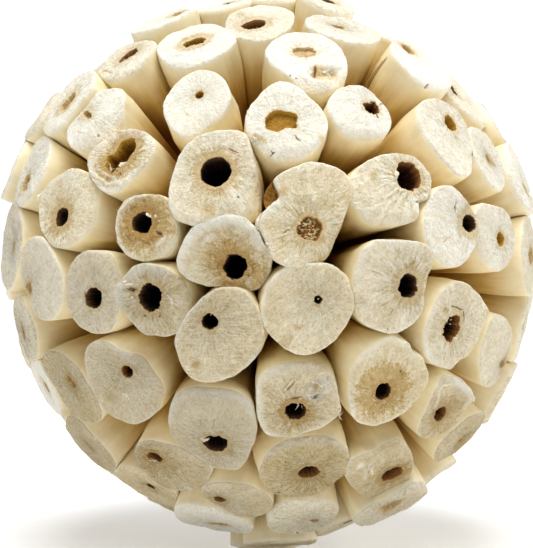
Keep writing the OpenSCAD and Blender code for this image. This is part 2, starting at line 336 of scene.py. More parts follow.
def spot_mask(x, y, spot):
    """1 in the middle of an oval (x, y, half-length, half-width, turn in degrees), 0 outside."""
    px, py, long, wide, turn = spot
    c, s = math.cos(math.radians(turn)), math.sin(math.radians(turn))
    u = ((x - px) * c + (y - py) * s) / long
    v = ((y - py) * c - (x - px) * s) / wide
    return 1 - smooth(0.55, 1.15, np.hypot(u, v))


def stroke_mask(x, y, line):
    """1 along a line (x, y, to x, to y, width), 0 outside its width."""
    ax, ay, bx, by, width = line
    ex, ey = bx - ax, by - ay
    h = np.clip(((x - ax) * ex + (y - ay) * ey) / max(ex * ex + ey * ey, 1e-9), 0, 1)
    return 1 - smooth(0.2, 1.0, np.hypot(x - ax - h * ex, y - ay - h * ey) / width)


# Steps in which a stick's surface is made: round it, over its end, down its side, down its channel
Fineness = namedtuple("Fineness", "around face side wall")
NEAR = Fineness(160, 36, 14, 7)
FAR = Fineness(64, 12, 9, 4)
CHANNEL_FLOOR = 3

# Ways in which the rim and the pith are sounded
FAN = 720
# More than any channel is deep, in mm
DEEPEST = 99
# Stands for a distance from an edge that is too far to matter
FAR_OFF = 9 * MM

# Wear of a cut end: how deep or high, and how far it reaches
FRAYING, FRAY_SIZE = 0.14 * MM, 1.6 * MM
DISH, DISH_REACH = 0.22 * MM, 2.2 * MM
LIP_WEAR, LIP_REACH = 0.12 * MM, 0.15 * MM
PULLED_FIBRE, PULLED_REACH = 0.07, 2.6 * MM
# Unevenness of the peeled sides and of the channel's wall
PEELING, PEELING_SIZE = 0.07 * MM, 2.2 * MM
WALL_BUMP, WALL_SIZE = 0.12 * MM, 0.7 * MM


def edge_lines(stick, look, n):
    """Ways from the pith, and how far its lip and the rim are towards each."""
    fan = np.linspace(0, TURN, FAN, endpoint=False)
    given = look.get("outline")
    outline = stick.outline if given is None else through(np.array(given) * MM)
    rim_far = soften(crossings(outline, stick.pith_at, fan, False), 2 if given else 6)
    rays = np.stack([np.cos(fan), np.sin(fan)], -1)
    rim_line = stick.pith_at + rim_far[:, None] * rays
    steps = np.linalg.norm(np.roll(rim_line, -1, 0) - rim_line, axis=1)
    # The ways are spaced partly by the rim's length and partly by angle
    measure = np.concatenate([[0], np.cumsum(0.65 * steps / steps.sum() + 0.35 / FAN)])
    ways = np.interp(np.arange(n) / n, measure, np.append(fan, TURN))
    out = np.stack([np.cos(ways), np.sin(ways)], -1)
    far = np.interp(ways, fan, rim_far, period=TURN)
    hollow = through(np.array(look["hollow"]) * MM) if "hollow" in look else stick.pith
    near = soften(crossings(hollow, stick.pith_at, fan, True), 5)
    near = np.interp(ways, fan, near, period=TURN)

    ragged = look.get("ragged", 1.0)
    lip = stacked(out[:, 0] * 1.2, out[:, 1] * 1.2, stick.seed * 0.37)
    near = near * (1 + 0.10 * ragged * rough(lip, 0.5, 3, 3)) + 0.07 * MM * ragged * rough(lip, 0.14, 4, 2)
    near = np.clip(near, 0.25 * MM, far * 0.8)
    edge = stick.pith_at + far[:, None] * out
    edge_at = stacked(edge[:, 0], edge[:, 1], stick.seed * MM)
    far = far - FRAYING * (0.4 + rough(edge_at, FRAY_SIZE, 5, 4))
    return out, near, far


def end_height(stick, look, sizes, x, y, to_rim, to_pith):
    """How high the sawn end stands at each of its points, and how torn it is there, with its ridges in the
    same mask for a painted highlight.
    """
    way = np.arctan2(y, x)
    at = stacked(x, y, stick.seed * 3 * MM)
    rounding = sizes.rim_round * MM
    s = np.clip(to_rim / rounding, 0, 1)
    z = -rounding * 0.8 * (1 - np.sqrt(np.maximum(0, 1 - (1 - s) ** 2)))
    for towards, spread, width, drop in look.get("slopes", ()):
        w = 1 - smooth(0.35, 1.0, turn_between(way, math.radians(towards)) / math.radians(spread))
        wobble = 1 + 0.3 * noise(at, 2.5 * MM, 8)
        s = np.clip(to_rim / (width * MM * wobble), 0, 1)
        z = z - drop * MM * w * (1 - s) ** 1.8
    # A shallow dish round the pith, and its worn lip
    z = z - DISH * np.exp(-(to_pith / DISH_REACH) ** 2)
    z = z - LIP_WEAR * np.exp(-(to_pith / LIP_REACH))
    relief = sizes.relief * look.get("rough", 1.0)
    z = z + relief * MM * (0.26 * rough(at, 5 * MM, 11, 3) + 0.07 * rough(at, 1.5 * MM, 13, 3))
    # Fibres that fan out from the pith, pulled up by the saw
    fans = np.arctan2(y - stick.pith_at[1], x - stick.pith_at[0])
    fan_at = stacked(np.cos(fans) * 6, np.sin(fans) * 6, to_pith / (7 * MM) + stick.seed)
    pulled = look.get("fibres", 0.6) * np.exp(-np.maximum(0, to_pith) / PULLED_REACH)
    z = z + relief * PULLED_FIBRE * MM * pulled * rough(fan_at, 0.8, 15, 2)
    torn = np.zeros_like(z)
    for px, py, long, wide, turn, depth, lumps in look.get("tears", ()):
        wander = [v + 0.5 * MM * noise(at, 1.3 * MM, seed) for v, seed in ((x, 21), (y, 22))]
        m = spot_mask(*wander, (px * MM, py * MM, long * MM, wide * MM, turn))
        crest = 1 - 2 * np.abs(rough(at, 1.0 * MM, 23, 3))
        z = z - depth * MM * m + lumps * MM * m * crest
        torn = np.maximum(torn, m)
    for *line, height in look.get("ridges", ()):
        wave = 0.5 * MM * rough(at, 1.6 * MM, 24, 2)
        m = stroke_mask(x + wave, y - wave, tuple(v * MM for v in line))
        z = z + height * MM * m * (0.75 + 0.5 * noise(at, 0.9 * MM, 25))
        # The ridges go into the torn mask, which paints them pale: a painted highlight on each ridge
        torn = np.maximum(torn, 0.8 * m)
    if look.get("level"):
        z = np.minimum(z, 0)
    return z, torn


class Skin:
    """Gathers the rings of points that a stick's surface is made of, from the pith's floor to the foot."""

    def __init__(self, stick):
        self.stick = stick
        self.rings, self.zones = [], []

    def ring(self, points, zone, flat, height, edges):
        """One ring, with its places on the end and about the pith, and its distances from the edges."""
        end = stacked(flat[:, 0], flat[:, 1], height)
        self.rings.append((points, end, flat - self.stick.pith_at, edges))
        self.zones.append(zone)

    def channel(self, look, fine, out, near, lip_z):
        """The pith channel, from its floor up to the lip."""
        stick = self.stick
        depth = min(stick.pith_depth, look.get("shallow", DEEPEST) * MM)
        floor = np.linspace(0.25, 0.9, CHANNEL_FLOOR)
        inner = stick.right * out[:, :1] + stick.up * out[:, 1:]
        for k in range(-CHANNEL_FLOOR, fine.wall):
            if k < 0:
                scale, down = floor[k + CHANNEL_FLOOR] * 0.94, depth
            else:
                u = k / fine.wall
                scale, down = 0.94 + 0.06 * u ** 2, depth * (1 - u) ** 1.5
            line = stick.pith_at + (near * scale)[:, None] * out
            at = stacked(line[:, 0], line[:, 1], down * 0.25 + stick.seed * MM)
            bump = WALL_BUMP * rough(at, WALL_SIZE, 31, 2)
            sunk = stick.place(line[:, 0], line[:, 1], lip_z) + stick.inward * down
            if k < 0:
                at = stacked(line[:, 0], line[:, 1], 0.0)
                bump = bump + look.get("grit", 0.0) * MM * rough(at, 0.6 * MM, 33, 2)
                sunk = sunk + stick.axis * bump[:, None]
            else:
                sunk = sunk + inner * bump[:, None] * min(1, down / MM)
            self.ring(sunk, CHANNEL, line, down - lip_z,
                      stacked(np.full(len(near), FAR_OFF), -down - 0.01 * MM, 0.0))

    def sides(self, fine, flat, rim_z, given):
        """The sides, from the rim down to the core."""
        stick = self.stick
        ways = np.arctan2(flat[:, 1], flat[:, 0])
        far = np.hypot(flat[:, 0], flat[:, 1])
        reach = np.linalg.norm(stick.middle)
        bottom = reach - CORE_R - GLUE_LINE
        lean = np.array([stick.right @ stick.normal, stick.up @ stick.normal])
        tilt = -(flat @ lean) / (stick.axis @ stick.normal)
        top = -rim_z - tilt
        ease_in = (6.0 if given else 1.5) * MM
        width = far
        for k in range(1, fine.side + 1):
            below = top + (bottom - top) * (k / fine.side) ** 1.7
            cast = np.minimum(below, bottom - 0.4 * MM)
            width = np.array([stick.width(w, b, r) for w, b, r in zip(ways, cast, width)])
            ease = smooth(0, ease_in, below - top)
            r = far * (1 - ease) + soften(width, 1.2) * ease
            ridge = stacked(np.cos(ways) * 7 * MM, np.sin(ways) * 7 * MM, below * 0.18 + stick.seed * MM)
            uneven = 0.05 * MM + PEELING * rough(ridge, PEELING_SIZE, 41, 3)
            r = r - uneven * smooth(0, 2 * MM, below - top)
            line = stacked(np.cos(ways) * r, np.sin(ways) * r)
            here = (stick.middle * (1 - below[:, None] / reach)
                    + line[:, :1] * stick.right + line[:, 1:] * stick.up)
            self.ring(here, PEELED, line, below + tilt, stacked(top - below, FAR_OFF, 0.0))

    def surface(self):
        """All points, quads and fans, closed by the middles of the channel's floor and of the foot."""
        points, end, pith, edges = (np.concatenate(column) for column in zip(*self.rings))
        n = len(points) // len(self.rings)
        last = len(points) - n
        base = np.arange(n)
        turn = (base + 1) % n
        quads = np.stack([base, base + n, turn + n, turn], -1)
        quads = np.concatenate([quads + k * n for k in range(len(self.rings) - 1)])
        columns = [np.concatenate([column, [column[:n].mean(0), column[-n:].mean(0)]])
                   for column in (points, end, pith, edges)]
        fans = np.concatenate([np.stack([np.full(n, last + n), base, turn], -1),
                               np.stack([np.full(n, last + n + 1), turn + last, base + last], -1)])
        # A strip between two zones takes the one with the higher number
        zones = np.maximum(self.zones[:-1], self.zones[1:])
        return columns, quads, np.repeat(zones, n), fans, np.repeat([CHANNEL, PEELED], n)


def carve(stick, look, fine, sizes):
    """The surface of one stick: its points, the faces' corners, their zones, and for each
    point its place on the end, about the pith, and its distances from the edges."""
    out, near, far = edge_lines(stick, look, fine.around)
    edge = stick.pith_at + far[:, None] * out
    mouth = stick.pith_at + near[:, None] * out
    # Rings from the pith's lip to the rim, closer together at both
    t = np.linspace(0, 1, fine.face)
    t = 0.45 * (1 - np.cos(math.pi * t)) / 2 + 0.55 * t
    flat = mouth[None] + (edge - mouth)[None] * t[:, None, None]
    to_rim = to_line(flat, edge)
    to_pith = np.linalg.norm(flat - stick.pith_at, axis=-1) - near[None]
    z, torn = end_height(stick, look, sizes, flat[..., 0], flat[..., 1], to_rim, to_pith)

    skin = Skin(stick)
    skin.channel(look, fine, out, near, z[0])
    for line, height, *edges in zip(flat, z, to_rim, to_pith, torn):
        skin.ring(stick.place(line[:, 0], line[:, 1], height), SAWN, line, -height, stacked(*edges))
    skin.sides(fine, edge, z[-1], "outline" in look)
    (points, end, pith, edges), quads, quad_zones, fans, fan_zones = skin.surface()
    tone = look.get("tone", np.random.RandomState(stick.seed).uniform(-1, 1))
    own = np.full((len(pith), 1), stick.seed % 89)
    return dict(points=points, quads=quads, quad_zones=quad_zones, fans=fans, fan_zones=fan_zones,
                end=end / MM, pith=np.concatenate([pith / MM, own], -1),
                edges=np.concatenate([edges[:, :2] / MM, edges[:, 2:]], -1),
                tone=np.full(len(points), tone))


def join(name, parts):
    """One mesh of several carved sticks."""
    def column(key):
        return np.concatenate([p[key] for p in parts]).astype(np.float32).ravel()

    mesh = bpy.data.meshes.new(name)
    points = np.concatenate([p["points"] for p in parts])
    start, faces, zones = 0, [], []
    for p in parts:
        faces += (p["quads"] + start).tolist() + (p["fans"] + start).tolist()
        zones += [p["quad_zones"], p["fan_zones"]]
        start += len(p["points"])
    mesh.from_pydata(points.tolist(), [], faces)
    mesh.polygons.foreach_set("material_index", np.concatenate(zones).astype(np.int32))
    mesh.polygons.foreach_set("use_smooth", np.ones(len(faces), bool))
    for key in ("end", "pith", "edges"):
        layer = mesh.attributes.new(key, "FLOAT_VECTOR", "POINT")
        layer.data.foreach_set("vector", column(key))
    layer = mesh.attributes.new("tone", "FLOAT", "POINT")
    layer.data.foreach_set("value", column("tone"))
    mesh.validate()
    mesh.update()
    return mesh


# ---------------------------------------------------------------- shaders

class Shading:
    """Lays out the nodes of a material or of a node group."""

    def __init__(self, tree):
        self.tree = tree

    def node(self, kind, **settings):
        node = self.tree.nodes.new(kind)
        for key, value in settings.items():
            setattr(node, key, value)
        return node

    def put(self, socket, value):
        """Link a socket to another, or set its value."""
        if isinstance(value, bpy.types.NodeSocket):
            self.tree.links.new(value, socket)
        elif socket.type == "RGBA":
            socket.default_value = (*value[:3], 1)
        else:
            socket.default_value = value

    def fill(self, node, values):
        for key, value in values.items():
            self.put(node.inputs[key], value)
        return node

    def math(self, operation, a, b=0.0, c=0.0, clamp=False):
        node = self.node("ShaderNodeMath", operation=operation, use_clamp=clamp)
        return self.fill(node, {0: a, 1: b, 2: c}).outputs[0]

    def add(self, a, b, clamp=False):
        return self.math("ADD", a, b, clamp=clamp)

    def sub(self, a, b, clamp=False):
        return self.math("SUBTRACT", a, b, clamp=clamp)

    def mul(self, a, b):
        return self.math("MULTIPLY", a, b)

    def mul_add(self, a, b, c, clamp=False):
        return self.math("MULTIPLY_ADD", a, b, c, clamp=clamp)

    def centred(self, value, span):
        """A value from 0 to 1, moved to lie about 0 over a span."""
        return self.mul(self.sub(value, 0.5), span)

    def both_ways(self, value):
        """A value from 0 to 1, widened to lie from -1 to 1."""
        return self.mul_add(value, 2.0, -1.0)

    def vector(self, operation, a, b=(0, 0, 0), scale=1.0):
        node = self.fill(self.node("ShaderNodeVectorMath", operation=operation), {0: a, 1: b, 3: scale})
        return node.outputs[1 if operation in ("LENGTH", "DOT_PRODUCT") else 0]

    def split(self, vector):
        """A vector's three values."""
        return tuple(self.fill(self.node("ShaderNodeSeparateXYZ"), {0: vector}).outputs)

    def bundle(self, x, y, z):
        """Three values as a vector."""
        return self.fill(self.node("ShaderNodeCombineXYZ"), {0: x, 1: y, 2: z}).outputs[0]

    def mix(self, factor, a, b, blend="MIX"):
        node = self.node("ShaderNodeMix", data_type="RGBA", blend_type=blend)
        return self.fill(node, {"Factor": factor, 6: a, 7: b}).outputs[2]

    def lay(self, under, mask, share, over, blend="MIX"):
        """A colour laid over another where a mask has it, by a share."""
        return self.mix(self.mul(mask, share), under, over, blend)

    def remap(self, value, low, high, to_low=0.0, to_high=1.0):
        """A soft step from one value to another between low and high."""
        node = self.node("ShaderNodeMapRange", interpolation_type="SMOOTHSTEP")
        return self.fill(node, {0: value, 1: low, 2: high, 3: to_low, 4: to_high}).outputs[0]

    def noise(self, vector, scale, detail=2.0, roughness=0.5, distortion=0.0, colour=False):
        node = self.node("ShaderNodeTexNoise")
        self.fill(node, {"Vector": vector, "Scale": scale, "Detail": detail, "Roughness": roughness,
                         "Distortion": distortion})
        return node.outputs["Color" if colour else 0]

    def attribute(self, name):
        return self.node("ShaderNodeAttribute", attribute_name=name).outputs["Vector"]

    def amount(self, name):
        return self.node("ShaderNodeAttribute", attribute_name=name).outputs["Fac"]

    def place_of_object(self):
        return self.node("ShaderNodeTexCoord").outputs["Object"]

    def group(self, tree, **values):
        return self.fill(self.node("ShaderNodeGroup", node_tree=tree), values).outputs


SOCKETS = {float: "NodeSocketFloat", tuple: "NodeSocketVector"}


def shader_group(name, inputs, outputs, lay_out):
    """A node group, built once: inputs and their defaults, outputs, and what lies between."""
    if name in bpy.data.node_groups:
        return bpy.data.node_groups[name]
    tree = bpy.data.node_groups.new(name, "ShaderNodeTree")
    for key, value in inputs.items():
        socket = tree.interface.new_socket(key, in_out="INPUT", socket_type=SOCKETS[type(value)])
        socket.default_value = value
    for key in outputs:
        tree.interface.new_socket(key, in_out="OUTPUT", socket_type="NodeSocketFloat")
    sh = Shading(tree)
    source = sh.node("NodeGroupInput").outputs
    sink = sh.node("NodeGroupOutput")
    results = lay_out(sh, *[source[key] for key in inputs])
    for key, value in zip(outputs, results):
        sh.put(sink.inputs[key], value)
    return tree


def mark_group():
    """A mask along a line or on a spot, with soft and tapered ends."""
    def lay_out(sh, position, start, stop, width, softness, taper):
        along = sh.vector("SUBTRACT", stop, start)
        away = sh.vector("SUBTRACT", position, start)
        square = sh.math("MAXIMUM", sh.vector("DOT_PRODUCT", along, along), 1e-6)
        h = sh.math("DIVIDE", sh.vector("DOT_PRODUCT", away, along), square, clamp=True)
        near = sh.vector("SUBTRACT", away, sh.vector("SCALE", along, scale=h))
        distance = sh.vector("LENGTH", near)
        ends = sh.math("POWER", sh.math("ABSOLUTE", sh.both_ways(h)), 2.0)
        full = sh.math("MAXIMUM", sh.mul(width, sh.sub(1.0, sh.mul(ends, taper))), 0.001)
        inner = sh.mul(full, sh.sub(0.99, softness, clamp=True))
        return [sh.sub(1.0, sh.remap(distance, inner, full))]
    return shader_group("Mark", {"Position": (0, 0, 0), "From": (0, 0, 0), "To": (0, 0, 0),
                                 "Width": 0.3, "Softness": 0.5, "Taper": 0.0}, ["Mask"], lay_out)


def rays_group():
    """Fine streaks that run out from the pith: all of them, and the bright and dark ones alone."""
    def lay_out(sh, pith, count, run):
        x, y, seed = sh.split(pith)
        flat = sh.bundle(x, y, 0.0)
        r = sh.vector("LENGTH", flat)
        ox, oy, _ = sh.split(sh.vector("SCALE", sh.vector("NORMALIZE", flat), scale=count))
        where = sh.bundle(ox, oy, sh.mul_add(r, run, seed))
        streaks = sh.noise(where, 1.0, 2.0, 0.6, 0.25)
        return [sh.remap(streaks, *ends) for ends in ((0.32, 0.68), (0.55, 0.66), (0.46, 0.36))]
    return shader_group("Pith rays", {"Pith": (0, 0, 0), "Count": 8.0, "Run": 0.35},
                        ["Streaks", "Bright", "Dark"], lay_out)


def saw_group():
    """Straight scratches that a saw leaves across an end."""
    def lay_out(sh, end, way, fineness):
        x, y, _ = sh.split(end)
        c, s = sh.math("COSINE", way), sh.math("SINE", way)
        along = sh.add(sh.mul(x, c), sh.mul(y, s))
        across = sh.sub(sh.mul(y, c), sh.mul(x, s))
        where = sh.bundle(sh.mul(along, 0.45), sh.mul(across, fineness), 3.7)
        return [sh.remap(sh.noise(where, 1.0, 2.0, 0.6, 0.4), 0.3, 0.7)]
    inputs = {"End": (0, 0, 0), "Way": 0.0, "Fineness": 3.0}
    return shader_group("Saw marks", inputs, ["Scratches"], lay_out)


def grain_group():
    """The grain of sawn pith wood: broad clouds, fine cells, pale flecks and small dark pits."""
    def lay_out(sh, position):
        clouds = sh.remap(sh.noise(position, 210.0, 3.0, 0.5), 0.34, 0.66)
        cells = sh.remap(sh.noise(position, 2600.0, 2.0, 0.65), 0.34, 0.66)
        bits = sh.noise(position, 1900.0, 2.0, 0.6, 1.2)
        flecks = sh.remap(bits, 0.63, 0.68)
        dents = sh.remap(bits, 0.40, 0.33)
        patches = sh.remap(sh.noise(position, 240.0, 1.0, 0.5), 0.48, 0.62)
        pits = sh.mul(sh.remap(sh.noise(position, 3000.0, 0.0, 0.5), 0.68, 0.74), patches)
        knots = sh.remap(sh.noise(position, 780.0, 3.0, 0.6, 0.6), 0.34, 0.66)
        return [clouds, knots, cells, flecks, dents, pits]
    return shader_group("Sawn grain", {"Position": (0, 0, 0)},
                        ["Clouds", "Knots", "Cells", "Flecks", "Dents", "Pits"], lay_out)


PALEST = srgb(252, 249, 237)

# Kinds of mark on an end: colour, strength, softness, taper, how deep it cuts
MARKS = {
    "crack": (srgb(138, 108, 44), 0.9, 0.9, 1.0, 0.7),
    "line": (srgb(214, 184, 130), 0.7, 1.0, 1.0, 0.35),
    "speck": (srgb(84, 64, 32), 0.95, 0.6, 0.0, 0.5),
    "stain": (srgb(222, 198, 142), 0.8, 1.0, 0.0, 0.0),
    "grey": (srgb(226, 214, 188), 0.8, 1.0, 0.0, 0.1),
    "pale": (srgb(255, 251, 238), 0.7, 1.0, 0.0, -0.3),
    "amber": (srgb(216, 178, 98), 0.8, 1.0, 0.0, 0.2),
    "brown": (srgb(156, 122, 50), 0.9, 0.9, 0.0, 0.5),
}


def wood_material(name, bumpy, roughness, colour_and_height):
    """A material of pith wood: its colour and relief come from what the function lays out."""
    if name in bpy.data.materials:
        return bpy.data.materials[name]
    material = bpy.data.materials.new(name)
    material.use_nodes = True
    sh = Shading(material.node_tree)
    shader = material.node_tree.nodes["Principled BSDF"]
    colour, height = colour_and_height(sh)
    bump = sh.node("ShaderNodeBump")
    sh.fill(bump, {"Strength": bumpy, "Distance": 0.15 * MM, "Height": height})
    sh.fill(shader, {
        "Base Color": colour, "Roughness": roughness, "Specular IOR Level": 0.35,
        "Subsurface Weight": 0.15, "Subsurface Radius": (1.0, 0.6, 0.35), "Subsurface Scale": 1.2 * MM,
        "Normal": bump.outputs[0]})
    return material


class SawnEnd:
    """Lays out a sawn end: grain, rays, rings, saw marks and a stained pith, with its own marks, and
    painted light and shade on its relief and rims.
    """

    # How strong the cells, the rays, the rings, the saw marks and the strokes are, in the colour's painted
    # light and shade and in the relief
    IN_COLOUR = (0.08, 0.11, 0.07, 0.09, 0.19)
    IN_RELIEF = (0.25, 0.42, 0.25, 0.4, 1.0)

    def __init__(self, sh, look):
        self.sh, self.look = sh, look
        self.wood = bpy.context.scene.pithball_wood
        self.saw_way, saw = look.get("saw", (20, 0.3))
        self.shares = (1.0, look.get("rays", 0.7), look.get("rings", 0.25), saw, look.get("crisp", 1.0))
        self.pits, self.dents = look.get("pits", 0.2), look.get("dents", 0.35)
        self.flecks = look.get("flecks", 0.6)
        # Pale ends are calmer
        self.soft = 1 - 0.6 * look.get("pale", 0)
        self.position = sh.place_of_object()
        self.end, self.pith = sh.attribute("end"), sh.attribute("pith")
        self.around = sh.vector("MULTIPLY", self.end, (1, 1, 0))
        self.to_rim, self.to_pith, self.torn = sh.split(sh.attribute("edges"))
        self.grain = sh.group(grain_group(), Position=self.position)
        self.wander = sh.noise(self.position, 800.0, 2.0, 0.5)
        self.ragged = sh.centred(self.grain["Knots"], 1.2)
        self.patterns = self.high_and_low()

    def lay_out(self):
        """The end's colour and its relief."""
        colour = self.stained(self.bare())
        colour = self.grain_and_painted_light(colour)
        colour = self.bordered(colour)
        # A painted shade that darkens the whole end, mostly on the lower ends
        if "dim" in self.look:
            colour = self.sh.mix(1.0, colour, (self.look["dim"],) * 3, "MULTIPLY")
        return self.marked(colour, self.relief())

    def high_and_low(self):
        """The patterns, each from -1 where it lies low to 1 where it stands up."""
        sh, pith, to_pith = self.sh, self.pith, self.to_pith
        near = sh.mul(sh.remap(to_pith, 0.1, 1.3, 0.25, 1.0),
                      sh.remap(sh.mul_add(self.wander, 2.4, to_pith), 2.5, 7.0, 1.0, 0.55))
        long = sh.group(rays_group(), Pith=pith, Count=7.5, Run=0.28)
        short = sh.group(rays_group(), Pith=pith, Count=15.0, Run=1.3)
        arcs = sh.group(rays_group(), Pith=pith, Count=1.2, Run=5.0)
        sawed = sh.group(saw_group(), End=self.end, Way=math.radians(self.saw_way), Fineness=3.2)
        return (sh.both_ways(self.grain["Cells"]),
                sh.mul(sh.both_ways(long["Streaks"]), near),
                sh.both_ways(arcs["Streaks"]),
                sh.both_ways(sawed["Scratches"]),
                sh.mul(sh.sub(short["Bright"], short["Dark"]), near))

    def blended(self, strengths):
        """The patterns added up."""
        total = 0.0
        for pattern, strength, share in zip(self.patterns, strengths, self.shares):
            total = self.sh.mul_add(pattern, strength * share * self.soft, total)
        return total

    def bare(self):
        """The wood's own colour, from pale to yellowed."""
        sh, pale = self.sh, self.look.get("pale", 0)
        tone = sh.mul_add(sh.amount("tone"), 0.5, 0.3)
        cloudy = sh.centred(self.grain["Clouds"], 0.35)
        colour = sh.mix(sh.add(tone, cloudy, clamp=True), self.wood.end_colour, self.wood.shade_colour)
        return sh.mix(pale, colour, PALEST) if pale else colour

    def stained(self, colour):
        """The hearts of darker wood, and the stain round the pith."""
        sh, tan = self.sh, self.wood.halo_colour
        for x, y, radius, softness, strength in self.look.get("hearts", ()):
            away = sh.vector("LENGTH", sh.vector("SUBTRACT", self.around, (x, y, 0)))
            away = sh.add(sh.add(away, sh.centred(self.wander, 2.6)), self.ragged)
            inside = sh.remap(sh.mul_add(self.patterns[0], 0.35, away),
                              radius - softness, radius + softness, 1.0, 0.0)
            colour = sh.lay(colour, inside, strength, tan, "MULTIPLY")
        width = self.look.get("halo", 1.2)
        edge = sh.add(sh.mul_add(self.wander, 0.8, self.to_pith), sh.mul(self.ragged, 0.5))
        ring = sh.remap(edge, 0.4 + width * 0.55, 0.4 + width * 1.15, 1.0, 0.0)
        return sh.lay(colour, ring, self.look.get("stain", 0.55), tan, "MULTIPLY")

    def grain_and_painted_light(self, colour):
        """The relief is painted into the colour too: low places get a yellower painted shade, high ones a
        paler painted highlight.
        """
        sh, grain, white = self.sh, self.grain, self.wood.pale_and_highlight_colour
        # Painted light and shade from the patterns: darker and yellower where they lie low, paler where
        # they stand up
        light = sh.add(1.0, self.blended(self.IN_COLOUR))
        light = sh.mul_add(sh.sub(grain["Knots"], 0.5), 0.10 * self.soft, light)
        ruddy, yellow = sh.mul_add(light, 0.75, 0.25), sh.mul_add(light, 1.65, -0.65)
        colour = sh.mix(1.0, colour, sh.bundle(ruddy, light, yellow), "MULTIPLY")
        colour = sh.lay(colour, grain["Flecks"], 0.8 * self.flecks, white)
        tan, brown = self.wood.halo_colour, self.wood.pith_colour
        # A tan painted shade in the dents
        colour = sh.lay(colour, grain["Dents"], 0.6 * self.dents * self.soft, tan, "MULTIPLY")
        colour = sh.lay(colour, grain["Pits"], 0.8 * self.pits * self.soft, brown)
        # Torn wood is pale, and the same mask paints a highlight on the ridges
        colour = sh.lay(colour, self.torn, 0.6, white)
        lip = sh.remap(sh.mul_add(self.wander, 0.3, self.to_pith), 0.12, 0.28, 1.0, 0.0)
        colour = sh.lay(colour, lip, 0.65, brown)
        # A painted highlight along the rim of the end
        rim = sh.remap(sh.mul_add(self.wander, 0.5, self.to_rim), 0.2, 0.75, 1.0, 0.0)
        return sh.lay(colour, rim, 0.45, white)

    def bordered(self, colour):
        """Paler borders along the rim, which are painted highlights, and the side's own colour where the
        end slopes down to it.
        """
        sh = self.sh
        for towards, spread, width, strength in self.look.get("borders", ()):
            way, spread = math.radians(towards), math.radians(spread)
            turned = sh.vector("DOT_PRODUCT", sh.vector("NORMALIZE", self.around),
                               (math.cos(way), math.sin(way), 0))
            there = sh.remap(turned, math.cos(spread), math.cos(spread * 0.55))
            edge = sh.mul_add(self.wander, 1.2, self.to_rim)
            edge = sh.remap(edge, 0.3 + width * 0.5, 0.9 + width, 1.0, 0.0)
            colour = sh.lay(colour, sh.mul(edge, there), strength, self.wood.pale_and_highlight_colour)
        side = tuple(0.6 * a + 0.4 * b for a, b in zip(self.wood.side_colour, self.wood.amber_colour))
        sunk = sh.mul_add(sh.sub(self.wander, 0.5), 0.8, sh.split(self.end)[2])
        return sh.mix(sh.remap(sunk, 0.5, 2.6, 0.0, 0.8), colour, side)

    def relief(self):
        """How high the end stands, for its bump."""
        sh, grain = self.sh, self.grain
        height = sh.mul_add(grain["Flecks"], 0.6 * self.flecks, self.blended(self.IN_RELIEF))
        height = sh.mul_add(grain["Knots"], 0.8 * self.look.get("rough", 1.0), height)
        height = sh.sub(height, sh.mul(grain["Dents"], 0.8 * self.dents))
        return sh.sub(height, sh.mul(grain["Pits"], 0.9 * self.pits))

    def marked(self, colour, height):
        """The end's own marks, in the colour and in the relief."""
        sh = self.sh
        wobble = sh.vector("SUBTRACT", sh.noise(self.position, 1000.0, 2.0, 0.6, colour=True), (0.5,) * 3)
        place = sh.vector("ADD", self.around, sh.vector("MULTIPLY", wobble, (0.9, 0.9, 0)))
        for kind, *line, width in self.look.get("marks", ()):
            tint, strength, softness, taper, cut = MARKS[kind]
            if len(line) == 2:
                line, taper = line * 2, 0.0
            mask = sh.group(mark_group(), Position=place, From=(*line[:2], 0), To=(*line[2:], 0),
                            Width=width, Softness=softness, Taper=taper)["Mask"]
            colour = sh.lay(colour, mask, strength, tint, "MIX" if kind == "pale" else "MULTIPLY")
            if cut:
                height = sh.sub(height, sh.mul(mask, 0.9 * cut))
        return colour, height


def sawn_material(name, look):
    """The material of a sawn end."""
    return wood_material(name, 1.0, 0.6, lambda sh: SawnEnd(sh, look).lay_out())


